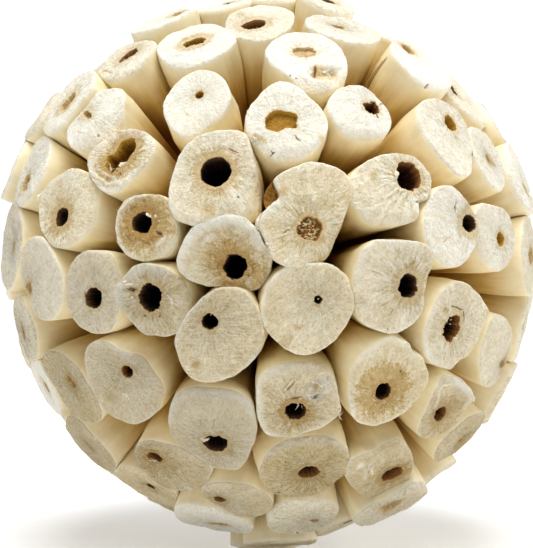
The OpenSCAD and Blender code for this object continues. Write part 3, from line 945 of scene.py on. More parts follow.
def peeled_material(name="Peeled side", splits=()):
    """A peeled side: waxy, ivory near the end, and darker towards the core with painted shade."""
    wood = bpy.context.scene.pithball_wood
    honey = wood.amber_colour

    def lay_out(sh):
        position = sh.place_of_object()
        x, y, _ = sh.split(sh.attribute("end"))
        rim, _, _ = sh.split(sh.attribute("edges"))
        depth = sh.mul(rim, -1.0)
        tone = sh.amount("tone")
        seeded = sh.mul(tone, 37.0)
        streaked = sh.bundle(sh.mul(x, 1.3), sh.mul(y, 1.3), sh.mul_add(depth, 0.10, seeded))
        streaks = sh.noise(streaked, 1.0, 3.0, 0.55)
        clouds = sh.noise(position, 260.0, 3.0, 0.5)
        reach = sh.add(depth, sh.centred(streaks, 5.0))
        # Ivory near the end, honey lower down and dark amber near the core: painted shade that deepens
        # where the sticks crowd together
        colour = sh.mix(sh.remap(reach, 0.0, 9.0), wood.side_colour, honey)
        colour = sh.mix(sh.remap(reach, 5.5, 15.0), colour, wood.deep_shade_colour)
        colour = sh.lay(colour, sh.remap(clouds, 0.4, 0.65), 0.18, [c * 0.8 for c in honey])
        # A paler band just below the rim: a painted highlight where the side meets the end
        edge = sh.remap(sh.mul_add(streaks, 0.9, depth), 0.3, 1.3, 1.0, 0.0)
        colour = sh.lay(colour, edge, 0.5, wood.pale_and_highlight_colour)
        fine = sh.noise(position, 1900.0, 2.0, 0.6)
        height = sh.add(sh.mul(streaks, 0.6), sh.mul(fine, 0.18))
        # Splits along the side: which way from the middle, width, where it starts and stops
        for towards, width, start, stop in splits:
            way = math.radians(towards)
            c, s = math.cos(way), math.sin(way)
            flat = sh.bundle(x, y, 0.0)
            across = sh.math("ABSOLUTE", sh.vector("DOT_PRODUCT", flat, (s, -c, 0)))
            across = sh.mul_add(streaks, -0.5 * width, across)
            facing = sh.remap(sh.vector("DOT_PRODUCT", flat, (c, s, 0)), 0.5, 1.5)
            along = sh.mul(sh.remap(depth, start, start + 0.8), sh.remap(depth, stop - 2, stop, 1.0, 0.0))
            there = sh.mul(facing, along)
            stain = sh.mul(sh.remap(across, 0.3 * width, 2.2 * width, 1.0, 0.0), there)
            split = sh.mul(sh.remap(across, 0.2 * width, 0.5 * width, 1.0, 0.0), there)
            colour = sh.lay(colour, stain, 0.5, srgb(176, 138, 84))
            colour = sh.lay(colour, split, 0.9, srgb(70, 44, 18))
            height = sh.sub(height, sh.mul(split, 1.5))
        return colour, height
    return wood_material(name, 0.35, 0.5, lay_out)


def channel_material(name, near, far, reach, gritty):
    """The wall and floor of a pith channel: striated, and darker with depth, a painted shade."""
    def lay_out(sh):
        position = sh.place_of_object()
        x, y, seed = sh.split(sh.attribute("pith"))
        _, to_pith, _ = sh.split(sh.attribute("edges"))
        depth = sh.mul(to_pith, -1.0)
        streaked = sh.bundle(sh.mul(x, 4.0), sh.mul(y, 4.0), sh.mul_add(depth, 0.4, seed))
        streaks = sh.noise(streaked, 1.0, 2.0, 0.6)
        grains = sh.noise(position, 2200.0, 2.0, 0.6)
        sunk = sh.add(depth, sh.centred(streaks, reach))
        # From the lip colour down to the far colour: painted shade deep in the channel
        colour = sh.mix(sh.remap(sunk, 0.0, reach), near, far)
        colour = sh.lay(colour, sh.remap(grains, 0.52, 0.60), gritty, [c * 0.2 for c in far])
        colour = sh.lay(colour, sh.remap(streaks, 0.55, 0.68), 0.5, [min(1, c * 1.5) for c in near])
        return colour, sh.add(streaks, sh.mul(grains, 0.8))
    return wood_material(name, 1.0, 0.75, lay_out)


# Kinds of pith channel: material, colours at the lip and deep down (the second a painted shade), reach of
# the first in mm, grit
CHANNELS = {
    "amber": ("Pith amber", srgb(200, 154, 50), srgb(150, 104, 20), 2.4, 0.3),
    "tan": ("Pith tan", srgb(216, 190, 140), srgb(164, 128, 72), 2.0, 0.3),
    "grit": ("Pith filled", srgb(200, 150, 76), srgb(136, 92, 36), 1.2, 0.7),
    "striped": ("Pith striped", srgb(156, 104, 46), srgb(58, 28, 8), 2.6, 0.4),
}


def channel_of(look):
    """The channel material that an end's look asks for."""
    wood = bpy.context.scene.pithball_wood
    open_pith = ("Pith channel", wood.pith_colour, wood.channel_shade_colour, 1.8, 0.4)
    return channel_material(*CHANNELS.get(look.get("pith"), open_pith))


def core_material():
    """The turned wooden core between the sticks' feet."""
    wood = bpy.context.scene.pithball_wood

    def lay_out(sh):
        position = sh.place_of_object()
        x, y, z = sh.split(position)
        rings = sh.vector("LENGTH", sh.bundle(x, y, sh.mul(z, 0.12)))
        wander = sh.noise(position, 60.0, 2.0, 0.5)
        bands = sh.math("SINE", sh.mul_add(rings, 5200.0, sh.mul(wander, 9.0)))
        grain = sh.noise(sh.vector("MULTIPLY", position, (1, 1, 0.08)), 2600.0, 3.0, 0.6)
        colour = sh.mix(sh.remap(bands, -0.6, 1.0), wood.amber_colour, srgb(150, 102, 52))
        colour = sh.lay(colour, grain, 0.4, srgb(110, 70, 34))
        return colour, sh.add(bands, grain)
    return wood_material("Core wood", 0.3, 0.6, lay_out)


# ---------------------------------------------------------------- how each end was cut

# Places and sizes are in mm from the middle of the end, right and up, for a look at it from
# outside. Ways are in degrees, anticlockwise from the right.
# outline: the rim, where it is finer than the frame has it; hollow: the pith's lip
# pith: kind of channel; shallow: the most that it is deep; grit: how uneven its floor is
# level: nothing stands above the cut
# tone: from -0.6, pale, to 1.4, yellowed; pale: share of white in it; dim: how much light it returns, a
# painted shade mostly on the lower ends
# halo, stain: width and strength of the stain round the pith
# ragged, rough, fibres: unevenness of the lip, of the end and of its fibres, as shares of the usual
# rays, rings, pits, flecks, crisp: strength of each pattern, and of the fine strokes
# saw: which way the saw's scratches run, and how strong they are
# hearts: discs of darker wood: x, y, radius, softness, strength
# slopes: towards, spread, width, drop
# tears: x, y, half-length, half-width, turn, depth, lumps
# ridges: x, y, to x, to y, width, height
# splits, on the side: towards, width, start, stop
# borders: towards, spread, width, strength of a paler band along the rim, a painted highlight
# marks: kind, x, y, (to x, to y,) width
# flaps, torn sheets that hang on: x, y, to x, to y, reach, lift, curl
# tufts: x, y, fibres, length, towards, spread
# crumbs: x, y, size
# bowl, a broken hollow beside the end: its outer edge, its inner edge, depth
# heap, crumbled pith that fills a channel: x, y, radius, crumbs, depth
def filled(**look):
    """An end whose pith fills its channel nearly to the lip."""
    return dict(pith="tan", shallow=0.8, **look)


LOOKS = {
    "top_stick_1": filled(tone=-0.4, pale=0.7, slopes=[(90, 70, 1.6, 0.6)]),
    "top_stick_2": dict(pith="striped", tone=0.2, pale=0.45, halo=1.6, slopes=[(110, 60, 1.8, 0.6)],
        marks=[("line", 2.4, 1.4, 3.6, 0.2, 0.2), ("grey", -3.4, 2.6, 1.4)]),
    "top_stick_3": filled(tone=0, pale=0.6, halo=0.9, crisp=1.8),
    "high_stick_1": dict(pith="striped", tone=0.1, pale=0.45, halo=1.5, saw=(-40, 0.7),
        slopes=[(100, 60, 1.5, 0.5), (300, 50, 2, 0.7)],
        marks=[("line", -3.6, -3.2, 0.6, -4.6, 0.35), ("stain", -2.6, -3.6, 1.3),
        ("line", 1.2, -3.4, 3.8, -2, 0.25)]),
    "high_stick_2": dict(pith="amber", tone=-0.1, pale=0.75, halo=1.8, stain=0.7, ragged=2,
        slopes=[(95, 60, 1.4, 0.5), (280, 60, 1.6, 0.6)], ridges=[(-3.4, -3.6, 2.8, -4, 0.5, 0.25)],
        marks=[("stain", -2.4, 1.7, 1.2), ("brown", 1.9, -0.9, 0.3), ("line", -1.8, 2.4, 1.4, 2.6, 0.25)]),
    "high_stick_3": dict(pith="tan", shallow=0.5, tone=-0.6, pale=0.85, halo=0.7, ragged=1.5, flecks=0.9,
        slopes=[(285, 60, 3.6, 1.8)], tears=[(1.8, -4, 3.2, 1.8, 15, 0.9, 0.35)],
        ridges=[(0.5, -2.2, 0, -4.4, 0.4, 0.35)],
        marks=[("stain", 1.8, -4, 2.9), ("stain", 3.8, -3.6, 1.6), ("stain", 1.4, -3.2, 1.4),
        ("amber", 0.9, -2.1, 0.3, -4.8, 0.6), ("brown", 0.8, -2.6, 0.4, -4.5, 0.3),
        ("brown", -3.8, -4.8, 0.3), ("brown", -2.9, -5.4, 0.22), ("pale", -0.3, -2.6, -0.5, -4.4, 0.3)],
        flaps=[(3.2, -2.6, 3.4, -5.2, 0.8, 30, 60)], crumbs=[(2.2, -3.4, 0.35), (1.4, -5, 0.3)]),
    "high_stick_4": filled(tone=-0.2, pale=0.8, halo=0.9, rough=0.6, slopes=[(250, 60, 2, 0.8)],
        splits=[(156, 0.3, 1, 15), (150, 0.2, 2, 9)],
        marks=[("crack", -4.7, -6.2, -3, -5.4, 0.25), ("grey", -0.8, 4.8, 1.8)]),
    "upper_stick_1": filled(tone=-0.2, pale=0.6, halo=1.7, ragged=1.6, slopes=[(200, 60, 1.8, 0.7)],
        marks=[("crack", 1.4, 2.4, 3, 3.6, 0.2), ("stain", 2.8, -2.2, 1.4)]),
    "upper_stick_2": filled(tone=-0.2, pale=0.7, halo=1.3, slopes=[(310, 75, 4.2, 2.2)],
        marks=[("brown", 3, 3.5, 0.28), ("brown", 2, -3.4, 0.4), ("line", -3.2, -2.8, -1, -3.6, 0.2)]),
    "upper_stick_3": dict(outline=[(-0.7, 7.1), (-3.2, 6.1), (-5.3, 3.2), (-6, 0.7), (-5.5, -2.3),
        (-3.6, -5.2), (-1.5, -6.8), (0.6, -6.4), (2.7, -4.3), (4.8, -1.8), (5.6, 0.7), (4.8, 3.2),
        (2.7, 5.9)], pith="amber", shallow=1.6, tone=-0.4, pale=0.7, halo=0.8, stain=0.5, rough=0.7,
        slopes=[(310, 60, 2.4, 1)], marks=[("amber", 0.2, 2.2, 0.8), ("line", -2, -2.2, -0.6, -3, 0.2)]),
    "upper_stick_4": dict(hollow=[(-3.4, 0), (-2.9, -1.4), (-1.7, -1.8), (0, -1.3), (1.4, -1), (1.85, 0.2),
        (1.6, 1.3), (0.2, 2.1), (-1.4, 2.1), (-3, 1.3)], pith="amber", shallow=1.1, tone=-0.4, pale=0.7,
        halo=0.6, stain=0.4, ragged=1.2, rays=0.8, slopes=[(262, 75, 2.4, 1.2)],
        tears=[(-4.8, -3.4, 1.2, 0.5, -30, 0.15, 0.3)],
        marks=[("brown", -1.2, 1.9, -0.9, -0.2, 0.2), ("crack", -2.9, -6.1, -2, -5.9, 0.2),
        ("crack", 1.2, -2.6, 2.2, -4.2, 0.2), ("stain", 5.6, -3.4, 0.9),
        ("stain", -5.2, -2.6, -3.8, -3.6, 0.8), ("line", -2.4, 2.6, -0.6, 3.2, 0.18),
        ("crack", -2.6, -5.4, -2.4, -6.2, 0.2)], flaps=[(-5.6, -2.8, -4, -3.9, 0.7, 40, 60)],
        crumbs=[(-5.3, -3.3, 0.3), (-4.2, -3.8, 0.22)]),
    "upper_stick_5": dict(pith="striped", tone=-0.3, pale=0.75, halo=0.5, ragged=2.4,
        slopes=[(255, 60, 1.8, 1.2)],
        marks=[("crack", 2.8, 0.2, 3.1, -1.2, 0.35), ("crack", 3.9, 1.6, 4.8, 2, 0.25)],
        tufts=[(2, 2.2, 6, 0.8, -60, 80)]),
    "upper_stick_6": dict(pith="amber", shallow=1.6, tone=-0.3, pale=0.5, dim=0.95, halo=0.9, rough=1.3,
        pits=0.3, flecks=1, tears=[(5, -4, 1.8, 0.8, 70, 0.25, 0.3)],
        marks=[("crack", 4.7, -4.8, 4.6, -3, 0.25), ("grey", 1.9, -0.4, 1)]),
    "middle_stick_1": filled(tone=-0.3, pale=0.6, crisp=1.8, slopes=[(180, 60, 2, 0.7)],
        ridges=[(-0.8, -3.4, 2.2, -2.2, 0.5, 0.25)]),
    "middle_stick_2": dict(outline=[(-0.3, 6.7), (-3.2, 5.8), (-5.7, 4.1), (-7.5, 2), (-6.9, -0.9),
        (-5.9, -3.4), (-4, -5.1), (-1.5, -6.7), (1.4, -7), (4.3, -6.3), (6.4, -3.8), (7, -0.5), (6.4, 2.8),
        (4.8, 5.3), (2.3, 6.5)], tone=-0.2, halo=1.7, stain=0.7, rays=0.9,
        hearts=[(-0.8, -1, 4.4, 1.2, 0.3)], slopes=[(5, 60, 2.6, 1.3)],
        ridges=[(-6.6, 3.4, 0.4, 5.8, 0.8, 0.15), (-7.2, 1.6, -6.4, 2.8, 0.6, 0.3)],
        marks=[("line", 0.4, -4.6, 1.4, -5.4, 0.2), ("line", -1.8, -4.8, -1.2, -5.9, 0.18),
        ("brown", 1.2, 1.4, 0.2)], flaps=[(-7.4, 1, -6.8, 3, 0.8, 50, 60)], crumbs=[(2, -6.1, 0.4)]),
    "middle_stick_3": dict(outline=[(-0.5, 5.5), (2, 5.3), (4.9, 4), (6.3, 1.9), (6, -0.2), (4.5, -2.7),
        (2.4, -4.8), (-0.1, -6.1), (-3, -5.4), (-5.1, -3.5), (-6.8, -1), (-7, 1.1), (-4.7, 3.6), (-2.6, 5)],
        pith="amber", tone=0.1, halo=2, stain=0.8, ragged=1.8, rays=0.9,
        hearts=[(-0.2, -0.4, 3.6, 0.9, 0.4)],
        ridges=[(-5.4, -2.6, -1.4, -4.6, 0.6, 0.35), (-1.4, -4.6, 2.6, -4.6, 0.6, 0.35),
        (2.6, -4.6, 5.4, -0.6, 0.55, 0.35), (-4.2, -1.8, -0.6, -3.4, 0.4, 0.25),
        (3.4, -2.8, 4.4, -0.2, 0.4, 0.3)],
        borders=[(250, 80, 1.2, 0.6), (60, 60, 1.6, 0.5), (160, 50, 1.4, 0.5)],
        marks=[("crack", -2.4, -0.6, 0.1, -2.5, 0.3), ("line", 2.6, 0.6, 4.8, 1.6, 0.25),
        ("line", 2.4, 1.4, 4.2, 2.8, 0.22), ("brown", 0.6, -2.8, 0.5)],
        flaps=[(1.5, -0.6, 1.2, -2.2, 1.6, -8, 20), (-5, -3.4, -2.4, -4.6, 0.7, 50, 90)],
        tufts=[(-1.4, -2, 7, 1, 30, 70)]),
    "middle_stick_4": dict(outline=[(4.2, 7.2), (1.6, 7.6), (-1, 7.4), (-4, 6.1), (-6, 3.6), (-7.3, -0.6),
        (-7.3, -5.4), (-6, -7.6), (-3.6, -8.5), (0.5, -8.7), (4.6, -8.2), (7, -6.2), (6.9, -1.4),
        (6.1, 2.8), (5.2, 5.7)], tone=0, pale=0.2, stain=0.5, ragged=0.7, rays=1, rings=0.5,
        hearts=[(0, 0.2, 4.3, 0.6, 0.45)],
        slopes=[(318, 50, 3.4, 2.4), (0, 40, 1.6, 0.9), (250, 50, 1.6, 0.7)],
        borders=[(140, 110, 1.4, 0.45)],
        marks=[("crack", 1.8, 4.4, 3.9, 3.2, 0.3), ("line", 0.1, 4.7, 4.4, 2.6, 0.3),
        ("line", -3, 2.8, -1.2, 4.2, 0.2), ("speck", 4.1, -4.1, 0.28),
        ("line", -4.4, -0.8, -3.8, 1.6, 0.22), ("stain", -0.6, -6.4, 1.8)]),
    "middle_stick_5": dict(outline=[(0, 8.3), (-3.6, 6.8), (-5.9, 4.8), (-4.8, 3.7), (-5.1, 2.2),
        (-6.8, 0.7), (-8.6, -1.6), (-7.3, -4.3), (-6.3, -7), (-4.4, -8.6), (-1.9, -8.9), (0.8, -8.3),
        (3.1, -7), (4.8, -3.5), (6.4, 0.7), (7.5, 3.6), (6.8, 5.9), (4.8, 7.5), (2.2, 8.2)], pith="grit",
        grit=0.28, tone=0.2, halo=0.9, stain=0.6, rays=1.5, rings=0.3,
        slopes=[(302, 48, 2, 1.9), (20, 30, 1.2, 0.6)], ridges=[(-8.4, -1.6, -5.2, 1.2, 0.8, 0.2)],
        borders=[(110, 70, 1.2, 0.5), (200, 40, 1.4, 0.4)],
        marks=[("line", -1.5, -0.6, -2.9, 1.2, 0.28), ("line", -1, -0.2, -1.8, 1.8, 0.2),
        ("line", 0.4, 0, 0.8, 2.4, 0.16), ("brown", 1, 0.2, 0.25), ("grey", 1.7, -4.3, 1.2),
        ("pale", -1.9, -7, 0.6), ("crack", -4.2, -3.4, -3.2, -2.6, 0.2), ("amber", -4.9, 2.6, 0.5),
        ("stain", -4.2, 3.2, 1.4)], flaps=[(-7.4, -0.2, -8.3, -2.6, 0.9, 30, 80)],
        bowl=([(-6.7, 0.5), (-7.1, 1.7), (-7, 3), (-6.5, 4.1), (-5.6, 5.1)],
              [(-6.5, 0.6), (-5.4, 1.6), (-4.9, 2.8), (-4.9, 3.9), (-5.6, 4.8)], 3.2),
        heap=(-0.1, -2.5, 1.8, 84, 0.2)),
    "middle_stick_6": dict(outline=[(1.8, 5.8), (4.8, 5.3), (6.6, 3.7), (7.6, 1.6), (7.3, -0.5),
        (6.2, -2.2), (4.6, -2.8), (4.3, -4.7), (3.5, -5.9), (1, -6.5), (-2.3, -6.7), (-5, -5.9), (-6.5, -4),
        (-7.5, -2.2), (-7.7, 0.3), (-6.5, 2.4), (-4, 4.1), (-1.1, 5.3)], pith="striped", tone=0, pale=0.2,
        halo=0.8, rays=2, fibres=1.6, slopes=[(200, 70, 2.6, 1.2), (265, 40, 2.2, 1.2)],
        tears=[(4.6, -2.5, 1.1, 0.4, -5, 0.1, 0.3)],
        ridges=[(1.2, -0.4, -3.6, -3.8, 0.35, 0.22), (1.9, -0.9, -1.2, -5.4, 0.35, 0.22),
        (0.6, 0.4, -5.2, -1.4, 0.35, 0.18), (2.6, -1.2, 0.9, -6, 0.3, 0.2), (0.4, 1.4, -4.8, 1, 0.3, 0.15)],
        borders=[(220, 70, 1.2, 0.5), (60, 60, 1.2, 0.4)],
        marks=[("pale", 1.4, 2.6, 0.7), ("crack", 3.8, -2.9, 5.6, -2.4, 0.25),
        ("line", 4.6, -1.6, 5.8, -0.8, 0.2), ("stain", -3.4, 1.4, 1.2)],
        flaps=[(1.1, 2.6, 0.8, 0.8, 0.7, 70, 90)],
        crumbs=[(1, 1.8, 0.4), (-7, -3.5, 0.65), (-6.4, -3.9, 0.4)]),
    "middle_stick_7": filled(tone=0.1, pale=0.6, halo=0.9, crisp=1.8,
        marks=[("stain", 1.6, -0.9, 1.2), ("line", -3, -2, -1, -3.2, 0.2)]),
    "middle_stick_8": filled(tone=-0.2, pale=0.7, halo=0.8, crisp=1.8, slopes=[(180, 60, 2, 0.8)]),
    "waist_stick_1": filled(tone=-0.1, pale=0.3, dim=0.89, halo=0.8, crisp=1.8),
    "waist_stick_2": filled(tone=0.2, pale=0.4, dim=0.91, halo=0.8, rough=1.3, pits=0.3, flecks=0.8),
    "waist_stick_3": dict(outline=[(-2.6, 6.6), (0.8, 7.1), (3.3, 6.2), (4.5, 3.7), (5.3, 2), (5.3, -2.2),
        (4.1, -5.1), (2, -6.7), (-1.8, -6.3), (-4.3, -4.7), (-5.9, -2.2), (-6.1, 0.8), (-5.1, 3.7)],
        tone=0.3, pale=0.2, dim=0.83, halo=0.7, rough=0.7, slopes=[(40, 60, 2.2, 1)],
        marks=[("crack", -1.9, 0.6, -1.4, -2.2, 0.4), ("line", 2.6, 1, 3.8, -1.2, 0.2)]),
    "waist_stick_4": dict(outline=[(-3.7, 4.3), (-1.2, 5), (2.2, 4.9), (4.4, 3.7), (5.4, 1.4), (5.7, -1.8),
        (4.7, -4.4), (2.2, -5.6), (-0.3, -6), (-2.8, -5.1), (-4.5, -3.4), (-5.4, -0.9), (-5.3, 1.6),
        (-4.7, 3.3)], tone=1, halo=1.6, stain=0.7, rays=1.2, rings=1, hearts=[(0, 0, 4.6, 0.5, 0.72)],
        slopes=[(330, 60, 1.8, 0.9)], ridges=[(-4.9, 1.6, -2, 4.4, 0.5, 0.15)],
        borders=[(205, 60, 0.9, 0.7), (120, 40, 0.9, 0.5), (315, 30, 1.4, 0.4)],
        marks=[("crack", 1.8, -1.1, 3.6, -1.9, 0.4), ("brown", 3.1, -1.5, 0.5),
        ("stain", 0.2, -3, 3.2, -1.8, 0.8), ("pale", 2.6, -3.4, 4, -2.4, 0.7), ("brown", 1.6, 1.6, 0.3),
        ("brown", 2.6, 0.9, 0.22), ("line", -3.4, 2.2, -1.2, 3.6, 0.22),
        ("line", -3.2, -1.6, -1.6, -3.6, 0.22), ("crack", 0.2, -3, 1.6, -3.4, 0.2)],
        flaps=[(1.1, 1.1, 0.2, 1.8, 0.6, 60, 120), (-4.6, 2.4, -2.8, 4.2, 0.5, 40, 90)],
        crumbs=[(1.9, 1.3, 0.28), (2.6, 0.5, 0.2)]),
    "waist_stick_5": dict(outline=[(-6.7, 2), (-5, 4.1), (-3.3, 5.5), (-0.8, 6), (2.1, 5.3), (4.2, 3.7),
        (5.6, 2.2), (6, -0.4), (4.9, -3.4), (3.3, -5.7), (0, -6), (-2.1, -5.7), (-4, -4), (-5.8, -2.2),
        (-6.9, 0)], tone=0.5, dim=0.82, ragged=1.6, rays=1.6, fibres=1.4, slopes=[(12, 50, 2, 1.3)],
        ridges=[(-5.8, 2.2, -2.8, 2.4, 0.5, 0.25), (-5.6, 0.8, -2.9, 0.8, 0.45, 0.25)],
        borders=[(120, 80, 1.8, 0.6), (200, 50, 1.2, 0.4)],
        marks=[("crack", -4.7, 1.7, -2.7, 1.5, 0.35), ("brown", -3.4, 1.5, 0.4), ("stain", -3.6, 1.2, 1.5),
        ("brown", -1.6, -2.6, 0.4), ("brown", 1, -2.7, 0.35), ("line", -1.2, 3.4, -0.8, 4.9, 0.2),
        ("line", 1.8, -2.8, 2.6, -4.2, 0.2), ("pale", 2.6, 0.6, 3.4, -0.6, 0.35)],
        flaps=[(-5, 2.5, -3.2, 2.7, 0.6, 60, 90)], tufts=[(0.9, -1.8, 5, 0.45, 140, 60)],
        crumbs=[(-4.9, 2.9, 0.35), (-3.8, 0.4, 0.25)]),
    "waist_stick_6": dict(outline=[(0, 6.2), (2.9, 5.8), (5, 3.7), (6, 1.7), (7.1, 0.3), (7.1, -2.2),
        (5.8, -4.7), (4, -5.8), (0.8, -5.5), (-2.1, -5.3), (-5, -4.7), (-7.3, -3.4), (-8.1, -1.3),
        (-7.5, 1.2), (-6, 3.7), (-3.3, 5.5)], tone=0.3, dim=0.9, stain=0.6, rays=1.1, rings=0.5, fibres=1.4,
        hearts=[(1.3, -0.9, 3.4, 1, 0.8), (-1.4, 0.9, 2.9, 1.3, 0.6), (5.2, -3.4, 1.8, 0.8, 0.8)],
        slopes=[(312, 42, 2.6, 1.9), (250, 40, 1.5, 1), (160, 50, 2, 0.5)],
        tears=[(-3.2, 2.2, 1.6, 0.9, 30, 0.1, 0.12)],
        ridges=[(-4.6, 4.2, 0.6, 5.4, 0.9, 0.2), (0.6, 5.4, 4.6, 3.8, 0.8, 0.25),
        (4.6, 3.8, 6.6, 1, 0.7, 0.3)],
        borders=[(125, 75, 2.2, 0.9), (40, 38, 1.6, 0.8), (185, 40, 1.4, 0.5)],
        marks=[("line", -1.4, 0.6, -3.4, 1.8, 0.2), ("stain", -2.4, -2, 1.6),
        ("stain", -1, -4.6, 2.6, -5, 0.8), ("brown", 3.6, -3.4, 0.25),
        ("line", -4.8, -1.6, -1.6, -2.4, 0.25), ("crack", -0.2, -3.2, 1.6, -4.4, 0.2)],
        crumbs=[(6.5, 1.5, 0.35), (5, 3.9, 0.2)]),
    "waist_stick_7": dict(outline=[(0.2, 7), (-2.8, 6.5), (-5.3, 4.6), (-6.9, 1.7), (-7.1, -0.8),
        (-6.5, -3.3), (-4.4, -5.8), (-1.9, -7.5), (0.6, -7.8), (3.5, -6.7), (6, -4.2), (7.7, -1.2),
        (7.9, 1.3), (7, 4.2), (5.6, 5.8), (3.4, 6.9)], tone=0.1, halo=0.4, rough=0.55, rays=0.35, rings=0.3,
        saw=(35, 0.8), dents=0.3, borders=[(140, 80, 0.7, 0.6)],
        marks=[("line", 1, 2.7, 2, 2, 0.16), ("stain", -1.3, -3.3, 0.8), ("amber", -1.7, -3, 0.24),
        ("amber", -0.9, -3.6, 0.26), ("amber", -1.2, -2.5, 0.16), ("amber", -0.4, -3.1, 0.16),
        ("grey", -2.4, -4.9, -3.8, -6.4, 1.3), ("line", -1.9, -4.6, -2.6, -6.6, 0.14),
        ("line", -2.8, -4.4, -4.2, -5.8, 0.14), ("line", -4.6, 1, -3.2, 1.8, 0.14),
        ("pale", 3.4, -4.2, 0.6)], tufts=[(2.3, 1.5, 3, 0.35, -90, 30)]),
    "waist_stick_8": dict(outline=[(-3.3, 7.1), (0.4, 7.1), (4.2, 6.9), (6.7, 5.6), (6.9, 2.9), (6, 0.8),
        (5.6, -1.3), (5.4, -4.2), (3.3, -6.7), (0.2, -8.1), (-3.3, -7.3), (-5.8, -6), (-6.9, -2.9),
        (-7.3, 0), (-6.5, 3.8), (-5.4, 6.2)], tone=0.1, pale=0.1, dim=0.94, halo=1.7, stain=0.6, rays=1.6,
        fibres=1.5, pits=0.3, slopes=[(185, 60, 1.8, 0.9)],
        borders=[(120, 80, 1.2, 0.6), (270, 60, 0.8, 0.4)],
        marks=[("crack", -1.3, -5.1, 0, -4, 0.2), ("speck", -1.3, -7.2, 0.2),
        ("line", -4.4, 2.2, -2.2, 1.4, 0.22), ("line", -4.6, -1.2, -1.8, -0.9, 0.2),
        ("line", -3.2, -3.8, -0.9, -2.6, 0.2), ("brown", 3.4, 4.2, 0.2), ("stain", 3.2, 3.4, 1.2)]),
    "waist_stick_9": dict(tone=-0.2, pale=0.6, dim=0.94, halo=1.9, stain=0.7, rough=1.3, rays=1.3,
        fibres=1.6, pits=0.3, flecks=0.9,
        marks=[("crack", 1.4, 4.8, 1, 2.3, 0.22), ("line", -3.4, 1.8, -0.8, 1.2, 0.2),
        ("line", -2.8, -2.8, 0.4, -1.2, 0.2)]),
    "waist_stick_10": dict(pith="amber", shallow=1.6, tone=0.2, pale=0.5, dim=0.95,
        slopes=[(180, 60, 2, 0.8)], marks=[("amber", 2, -0.4, 0.6), ("line", -2, -2.8, 0.2, -3.4, 0.2)]),
    "waist_stick_11": filled(tone=0.1, pale=0.3, dim=0.92, halo=0.9),
    "lower_stick_1": filled(tone=0, pale=0.2, dim=0.89, halo=0.9, crisp=1.8),
    "lower_stick_2": filled(tone=-0.4, pale=0.8, halo=1.1, slopes=[(90, 60, 2, 0.7)]),
    "lower_stick_3": filled(tone=0.9, dim=0.76, pits=0.4, crisp=1.2,
        marks=[("brown", 2, -1.8, 0.28), ("brown", 3.2, -2.6, 0.22), ("brown", 1.2, -3.2, 0.24),
        ("brown", 3, -0.9, 0.2), ("brown", 2.2, -3.6, 0.2)]),
    "lower_stick_4": dict(outline=[(-2.5, 7.7), (0, 7.4), (2.1, 5.9), (4.2, 4.4), (6, 1.5), (7.1, -1),
        (6.3, -4.3), (4.2, -6.2), (0.8, -7.5), (-2.5, -6.8), (-5, -5), (-6.5, -1.4), (-6.7, 1.5),
        (-6.2, 4.8), (-4.8, 6.9)], pith="striped", tone=0.5, pale=0.1, dim=0.77, halo=0.7, stain=0.5,
        rough=0.6, rays=0.4, slopes=[(15, 62, 3.4, 1.8)],
        borders=[(40, 60, 1.4, 0.5), (150, 60, 0.8, 0.4)],
        marks=[("line", 0.2, -1.8, 1.2, -2.6, 0.25), ("pale", 0.7, -2.1, 0.5), ("grey", -2.6, -2.4, 2.2)],
        crumbs=[(0.4, -1.7, 0.25), (1.1, -2.5, 0.22), (0.8, -2.1, 0.16)]),
    "lower_stick_5": dict(outline=[(1.2, 8.3), (3.9, 7.7), (5.5, 5.9), (6.4, 4), (6.9, 1.6), (6.7, -0.5),
        (5.5, -3.2), (2.5, -5.9), (-0.5, -7.4), (-3.2, -7.6), (-5.3, -6.8), (-6.6, -5), (-7.5, -2.2),
        (-7.7, -0.2), (-6.1, 3.2), (-4.2, 5.4), (-1.5, 7.6)], tone=0.4, dim=0.92, halo=0.7, rough=0.55,
        rays=0.9, rings=0.4, saw=(2, 0.9), pits=0.3, slopes=[(280, 60, 1.4, 0.5)],
        borders=[(150, 60, 0.8, 0.6), (300, 60, 0.5, 0.6)],
        marks=[("line", 0.2, 2, 5.2, 1.6, 0.2), ("line", 0.2, 1.2, 4.4, 0.3, 0.18),
        ("line", 0.4, 2.8, 4.6, 3.2, 0.16), ("pale", -0.9, 3.5, 0.6), ("stain", -4.2, -4.2, 1.4)],
        tufts=[(-1.2, 3.9, 5, 0.45, -90, 40)]),
    "lower_stick_6": dict(outline=[(-6.5, 3.6), (-6.6, 0.7), (-6.1, -3.5), (-4.8, -6.2), (-2.3, -7),
        (0, -7), (1.8, -6.1), (4.3, -5.2), (6.4, -3.5), (7.5, -2), (7, 0.7), (6.4, 3.2), (5.2, 5),
        (3.1, 6.1), (-0.7, 6.5), (-4, 5.9), (-5.7, 5)], tone=0.6, dim=0.9, stain=0.7, ragged=1.4, rays=1.1,
        fibres=1.4, hearts=[(0.2, -2, 3.2, 1, 0.5)], slopes=[(85, 60, 2.4, 1.1)],
        tears=[(3.6, 2, 2.9, 2.2, 40, 0.3, 0.45)],
        borders=[(200, 70, 1.2, 0.7), (100, 50, 1.6, 0.5), (300, 40, 0.8, 0.5)],
        marks=[("stain", 3, 2.6, 1.3), ("crack", -1.3, 0.5, 0.8, 0.7, 0.32),
        ("crack", -1.6, 1.9, -0.3, 3.7, 0.28), ("brown", 2, -1.8, 0.28),
        ("crack", 2.6, 0.4, 3.8, 1.4, 0.25), ("line", -2.4, -3.4, -3.8, -4.6, 0.2),
        ("line", -3.2, -2.2, -4.8, -2.8, 0.2), ("amber", -0.3, -3.4, 0.5)],
